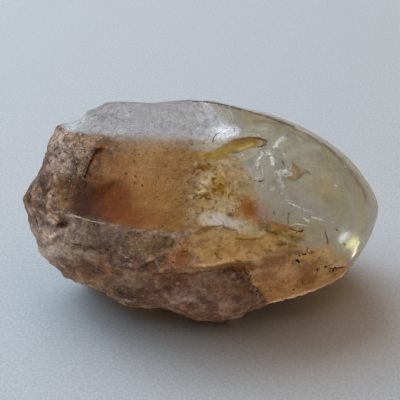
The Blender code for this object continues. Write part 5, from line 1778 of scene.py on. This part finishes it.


# white grains on the skin along the sparkle clusters, the top face's corner and the right tip: painted glints
glint_grains = Sealed("glint_grains")
rng = np.random.default_rng(77)
for k, (pts, spread, count, size) in enumerate((
        (((284, 138), (279, 142), (275, 147)), 1.8, 70, 2.5), (((267, 153), (271, 155), (272, 160), (273, 166)), 1.5, 64, 2.6),
        (((264, 152.5), (259, 158), (257, 168)), 1.3, 52, 2.0), (((276, 170), (280, 178), (283, 188)), 1.8, 40, 1.8),
        (((284, 170), (291, 176)), 2.2, 30, 2.0), (((303, 218), (309, 221.5)), 0.6, 18, 1.4), (((311, 217), (318, 218.5), (325, 221)), 0.6, 22, 1.3),
        (((287, 202.5), (296, 206), (304, 209)), 0.8, 16, 1.3), (((240, 152), (245, 157)), 1.5, 10, 1.6), (((206, 138), (222, 135), (240, 130)), 3.2, 40, 1.5),
        (((341, 236), (346, 240)), 1.8, 8, 1.5), (((262, 186), (276, 193), (290, 198)), 2.4, 16, 1.2), (((69, 127), (78, 122), (88, 118)), 3.0, 46, 1.4), (((334, 184), (337, 187)), 0.8, 5, 1.2))):
    line = np.array(pts, float)
    run = np.concatenate(([0], np.cumsum(np.hypot(*np.diff(line, axis=0).T))))
    at = rng.uniform(0, run[-1], count)
    xs = np.interp(at, run, line[:, 0]) + rng.normal(0, spread * 0.6, count)
    ys = np.interp(at, run, line[:, 1]) + rng.normal(0, spread * 0.6, count)
    for x, y, place in zip(xs, ys, skin.place(xs, ys, 0.0)):
        if place is None:
            continue
        r = 0.5 * PX * (0.5 + (size - 0.4) * rng.random() ** 1.6)
        axes, _ = np.linalg.qr(rng.normal(size=(3, 3)))
        lengths = (r * (1.2 + 1.2 * rng.random()), r * 0.7, r * 0.6)
        verts = [place + s * axes[m] * lengths[m] for m in range(3) for s in (1, -1)]
        faces = [(0, 2, 4), (2, 1, 4), (1, 3, 4), (3, 0, 4), (2, 0, 5), (1, 2, 5), (3, 1, 5), (0, 3, 5)]
        if np.linalg.det(axes) < 0:
            faces = [f[::-1] for f in faces]
        glint_grains.add((np.array(verts), faces, np.full(6, x), np.full(6, y)), True, False)


def paint_glint_grains(c):
    c.lay(np.ones(len(c.X)), (250, 250, 246))
    c.lay(sstep(0.0, 0.3, c.noise(0.3, 2, 96)) * 0.5, (214, 206, 190))


def paint_dark_grains(c):
    c.lay(np.ones(len(c.X)), (66, 46, 28))
    c.lay(sstep(0.0, 0.3, c.noise(0.3, 2, 93)), (96, 70, 42))
    top = sstep(140.0, 136.0, c.Y) * sstep(66.0, 72.0, c.X)
    c.lay(top, (96, 88, 86))


def paint_pale_grains(c):
    c.lay(np.ones(len(c.X)), (196, 182, 160))
    c.lay(sstep(0.0, 0.3, c.noise(0.3, 2, 94)), (170, 148, 118))
    rind = sstep(206.0, 198.0, c.X) * sstep(214.0, 220.0, c.Y)
    c.lay(np.maximum(rind, c.near(215, 292, 60, 24)), (160, 140, 124))
    c.lay(sstep(140.0, 136.0, c.Y), (236, 238, 242))


glint_grains.build(paint_glint_grains, bright, False)
dark_grains.build(paint_dark_grains, matte, False)
pale_grains.build(paint_pale_grains, bright, False)

# bright streaks in the mist that come up to the skin: white veils, and short ones among the sparkle clusters that are
# painted glints
streaks = Sealed("streaks")
for k, (pts, wide) in enumerate((
        (((287.5, 202.6), (292, 204), (296, 206.6), (300, 208)), 1.3), (((300, 208.5), (306, 210.5), (312, 212)), 0.9), (((284, 199.5), (290, 200.6), (295, 202)), 0.7),
        (((311, 216.6), (314, 217.6), (318, 218.6), (323.5, 220.6)), 1.2), (((304, 218.6), (307, 220.2), (309.5, 221.6)), 1.7), (((331.5, 222), (334.5, 222.3)), 1.2),
        (((289, 225.4), (296, 223.8), (301, 224.6), (307, 226)), 0.9), (((256.5, 157.5), (259, 157.2), (261, 158)), 1.0), (((256, 160.4), (259, 160), (260, 160.3)), 0.8),
        (((256.5, 163.4), (258.5, 163), (260.5, 163.4)), 0.9), (((256, 166.3), (258.5, 166), (259.6, 166.4)), 0.8), (((256.6, 169), (258.6, 168.8)), 0.7),
        (((279, 142), (277.4, 143.6), (276.4, 145.4)), 0.7), (((266.5, 153), (269, 154), (271.5, 155)), 1.1), (((271, 157), (271.6, 160), (271.4, 163)), 0.9),
        (((273, 158), (274, 161), (273.6, 165)), 1.0), (((262, 153), (265, 152.4)), 1.0), (((278, 171), (280.5, 176), (281, 181)), 1.0),
        (((281.5, 182), (282.6, 186), (282, 190)), 0.8), (((285, 170.6), (288, 172), (291, 173.4)), 1.0), (((283, 174), (286, 177)), 0.8), (((333.5, 185.4), (337, 186)), 0.9))):
    made = skin_thread(skin, pts, wide * 0.8, 0.0, 0.9, 500 + k)
    if made is not None:
        streaks.add(made, True, False)


def paint_streaks(c):
    c.lay(np.ones(len(c.X)), (252, 252, 248))
    c.lay(sstep(0.0, 0.4, c.noise(0.5, 2, 97)) * 0.6, (190, 182, 164))


streaks.build(paint_streaks, bright)

# painted highlights along the cut edge of the cap and along the ridge, a dark line of painted shade along the dome's
# top outline, and the brown edges of the sliver's tip
edges = Sealed("edge_highlights_and_lines")
for k, (pts, wide) in enumerate((
        (((269, 303), (276, 300.5), (284, 298.5), (292, 296.5), (300, 294.5), (308, 292), (316, 289), (322, 286.5)), 2.4),
        (((318, 288), (326, 284.5), (334, 281), (341, 276.5), (346, 272)), 1.6),
        (((296, 295), (304, 292), (312, 289.5)), 1.0), (((66, 214.5), (74, 215.5), (82, 218.5)), 1.1), (((82, 218.5), (92, 221.5), (104, 223.5)), 0.7), (((192, 101.8), (206, 102.2), (222, 104.6), (232, 106.8)), 1.3), (((230, 106.6), (242, 109.8), (256, 113.8), (268, 117.6)), 1.0),
        (((266, 117.4), (280, 122), (294, 127.6)), 0.7),
        (((253, 137.6), (260, 138.6), (267, 141.4)), 1.7), (((256, 147.6), (261, 146.4), (266.5, 143.6)), 0.8))):
    made = skin_thread(skin, pts, wide, 0.02, 0.5 if pts[0][1] > 130 else 0.0, 300 + k)
    if made is not None:
        edges.add(made, True, False)


def paint_edges(c):
    c.lay(np.ones(len(c.X)), (232, 198, 162))
    c.lay(sstep(0.0, 0.4, c.noise(0.9, 2, 95)) * 0.45, (176, 132, 94))
    # the ridge's part is a paler grey painted highlight; the part along the dome's top outline is a dark line of
    # painted shade
    c.lay(sstep(120, 110, c.X), (196, 184, 172))
    c.lay(sstep(130.0, 128.0, c.Y), (96, 80, 66))
    c.lay(sstep(240.0, 246.0, c.X) * sstep(280.0, 274.0, c.X) * sstep(131.0, 134.0, c.Y) * sstep(160.0, 152.0, c.Y), (120, 84, 40))


edges.build(paint_edges, matte)
# ---------------------------------------------------------------- floor and light
def make_floor():
    me = bpy.data.meshes.new("floor")
    s = 1.5
    me.from_pydata([(-s, -s, 0), (s, -s, 0), (s, s, 0), (-s, s, 0)], [], [(0, 1, 2, 3)])
    ob = bpy.data.objects.new("floor", me)
    bpy.context.scene.collection.objects.link(ob)
    m = bpy.data.materials.new("floor")
    m.use_nodes = True
    nt = m.node_tree
    sh = nt.nodes["Principled BSDF"]
    co = nt.nodes.new("ShaderNodeTexCoord")
    nz = nt.nodes.new("ShaderNodeTexNoise")
    nz.inputs["Scale"].default_value = 2300.0
    nz.inputs["Detail"].default_value = 3.0
    spread = nt.nodes.new("ShaderNodeMapRange")
    spread.inputs["From Min"].default_value = 0.30
    spread.inputs["From Max"].default_value = 0.70
    ramp = nt.nodes.new("ShaderNodeMix")
    ramp.data_type = "RGBA"
    nt.links.new(co.outputs["Object"], nz.inputs["Vector"])
    nt.links.new(nz.outputs["Fac"], spread.inputs["Value"])
    nt.links.new(spread.outputs["Result"], ramp.inputs["Factor"])
    ramp.inputs[6].default_value = (0.345, 0.398, 0.447, 1)
    ramp.inputs[7].default_value = (0.438, 0.497, 0.550, 1)
    nt.links.new(ramp.outputs[2], sh.inputs["Base Color"])
    sh.inputs["Roughness"].default_value = 0.7
    me.materials.append(m)
    return ob


def area_light(name, azimuth, elevation, distance, size, size_y, power, colour, target=(0, 0, 0.012)):
    data = bpy.data.lights.new(name, "AREA")
    data.shape = "RECTANGLE"
    data.size, data.size_y = size, size_y
    data.energy = power
    data.color = colour
    ob = bpy.data.objects.new(name, data)
    bpy.context.scene.collection.objects.link(ob)
    a, e = math.radians(azimuth), math.radians(elevation)
    way = Vector((math.sin(a) * math.cos(e), math.cos(a) * math.cos(e), math.sin(e)))
    ob.location = Vector(target) + way * distance
    ob.rotation_euler = (-way).to_track_quat("-Z", "Y").to_euler()
    return ob


floor = make_floor()
window = area_light("window", -30, 50, 1.15, 0.88, 0.72, 13.4, (0.88, 0.98, 1.07))
# the floor has its own light: the same window, and one lower and further round to the left
floor_window = area_light("window_floor", -29, 50, 1.15, 0.88, 0.72, 8.6, (0.88, 0.98, 1.07))
floor_side = area_light("side_floor", -64, 34, 1.15, 0.80, 0.60, 8.2, (0.88, 0.98, 1.07))
area_light("ceiling", -30, 80, 0.9, 0.9, 0.9, 2.3, (1.0, 0.98, 0.96))
# light from the room falls on the stone from the front; a warm glow on the floor keeps the shadow warm
room = area_light("room", 182, 5, 1.0, 1.1, 0.30, 5.0, (1.0, 0.90, 0.76))
room.visible_glossy = False
glow = area_light("glow", 60, 50, 1.0, 1.2, 1.2, 4.2, (1.0, 0.48, 0.17))
for light, state in ((room, "EXCLUDE"), (glow, "INCLUDE"), (window, "EXCLUDE"), (floor_window, "INCLUDE"), (floor_side, "INCLUDE")):
    group = bpy.data.collections.new(light.name + "_lights")
    group.objects.link(floor)
    group.collection_objects[0].light_linking.link_state = state
    light.light_linking.receiver_collection = group


def glint(name, x, y, size, power, colour, distance=0.06):
    """A small card that the polished skin mirrors at one place; it lights nothing else."""
    U, V = at_px(float(x), float(y))
    E, t, n, _ = look_in(np.array([x]), np.array([y]))
    place, n = to_stone(E)[0] + np.array(HOME), to_stone(n)[0]
    n /= np.linalg.norm(n)
    way = place - np.array(EYE) * 1000
    way /= np.linalg.norm(way)
    back = way - 2 * (way @ n) * n
    at = Vector(place + back * distance * 1000) * 0.001
    print(name, "normal", np.round(n, 2), "mirror way", np.round(back, 2), "card at", [round(c, 3) for c in at])
    data = bpy.data.lights.new(name, "AREA")
    data.shape = "ELLIPSE"
    data.size, data.size_y = size
    data.energy = power
    data.color = colour
    ob = bpy.data.objects.new(name, data)
    bpy.context.scene.collection.objects.link(ob)
    ob.location = at
    ob.rotation_euler = (at - Vector(place) * 0.001).to_track_quat("Z", "Y").to_euler()
    ob.visible_diffuse = ob.visible_transmission = ob.visible_camera = False
    return ob


glint("card_white", 344, 237, (0.0046, 0.0038), 0.00044, (0.90, 0.96, 1.0), 0.022)
glint("card_lemon", 352, 243, (0.0054, 0.0034), 0.00050, (1.0, 0.93, 0.30), 0.020)
glint("card_pale", 356, 247, (0.0022, 0.0040), 0.00021, (1.0, 0.95, 0.55), 0.018)
glint("card_low", 354, 254, (0.0012, 0.0022), 0.00008, (1.0, 0.84, 0.60), 0.016)
world = bpy.data.worlds.new("world")
bpy.context.scene.world = world
world.use_nodes = True
world.node_tree.nodes["Background"].inputs["Color"].default_value = (1.0, 0.80, 0.62, 1)
world.node_tree.nodes["Background"].inputs["Strength"].default_value = 0.05
bpy.context.scene.view_settings.view_transform = "Standard"
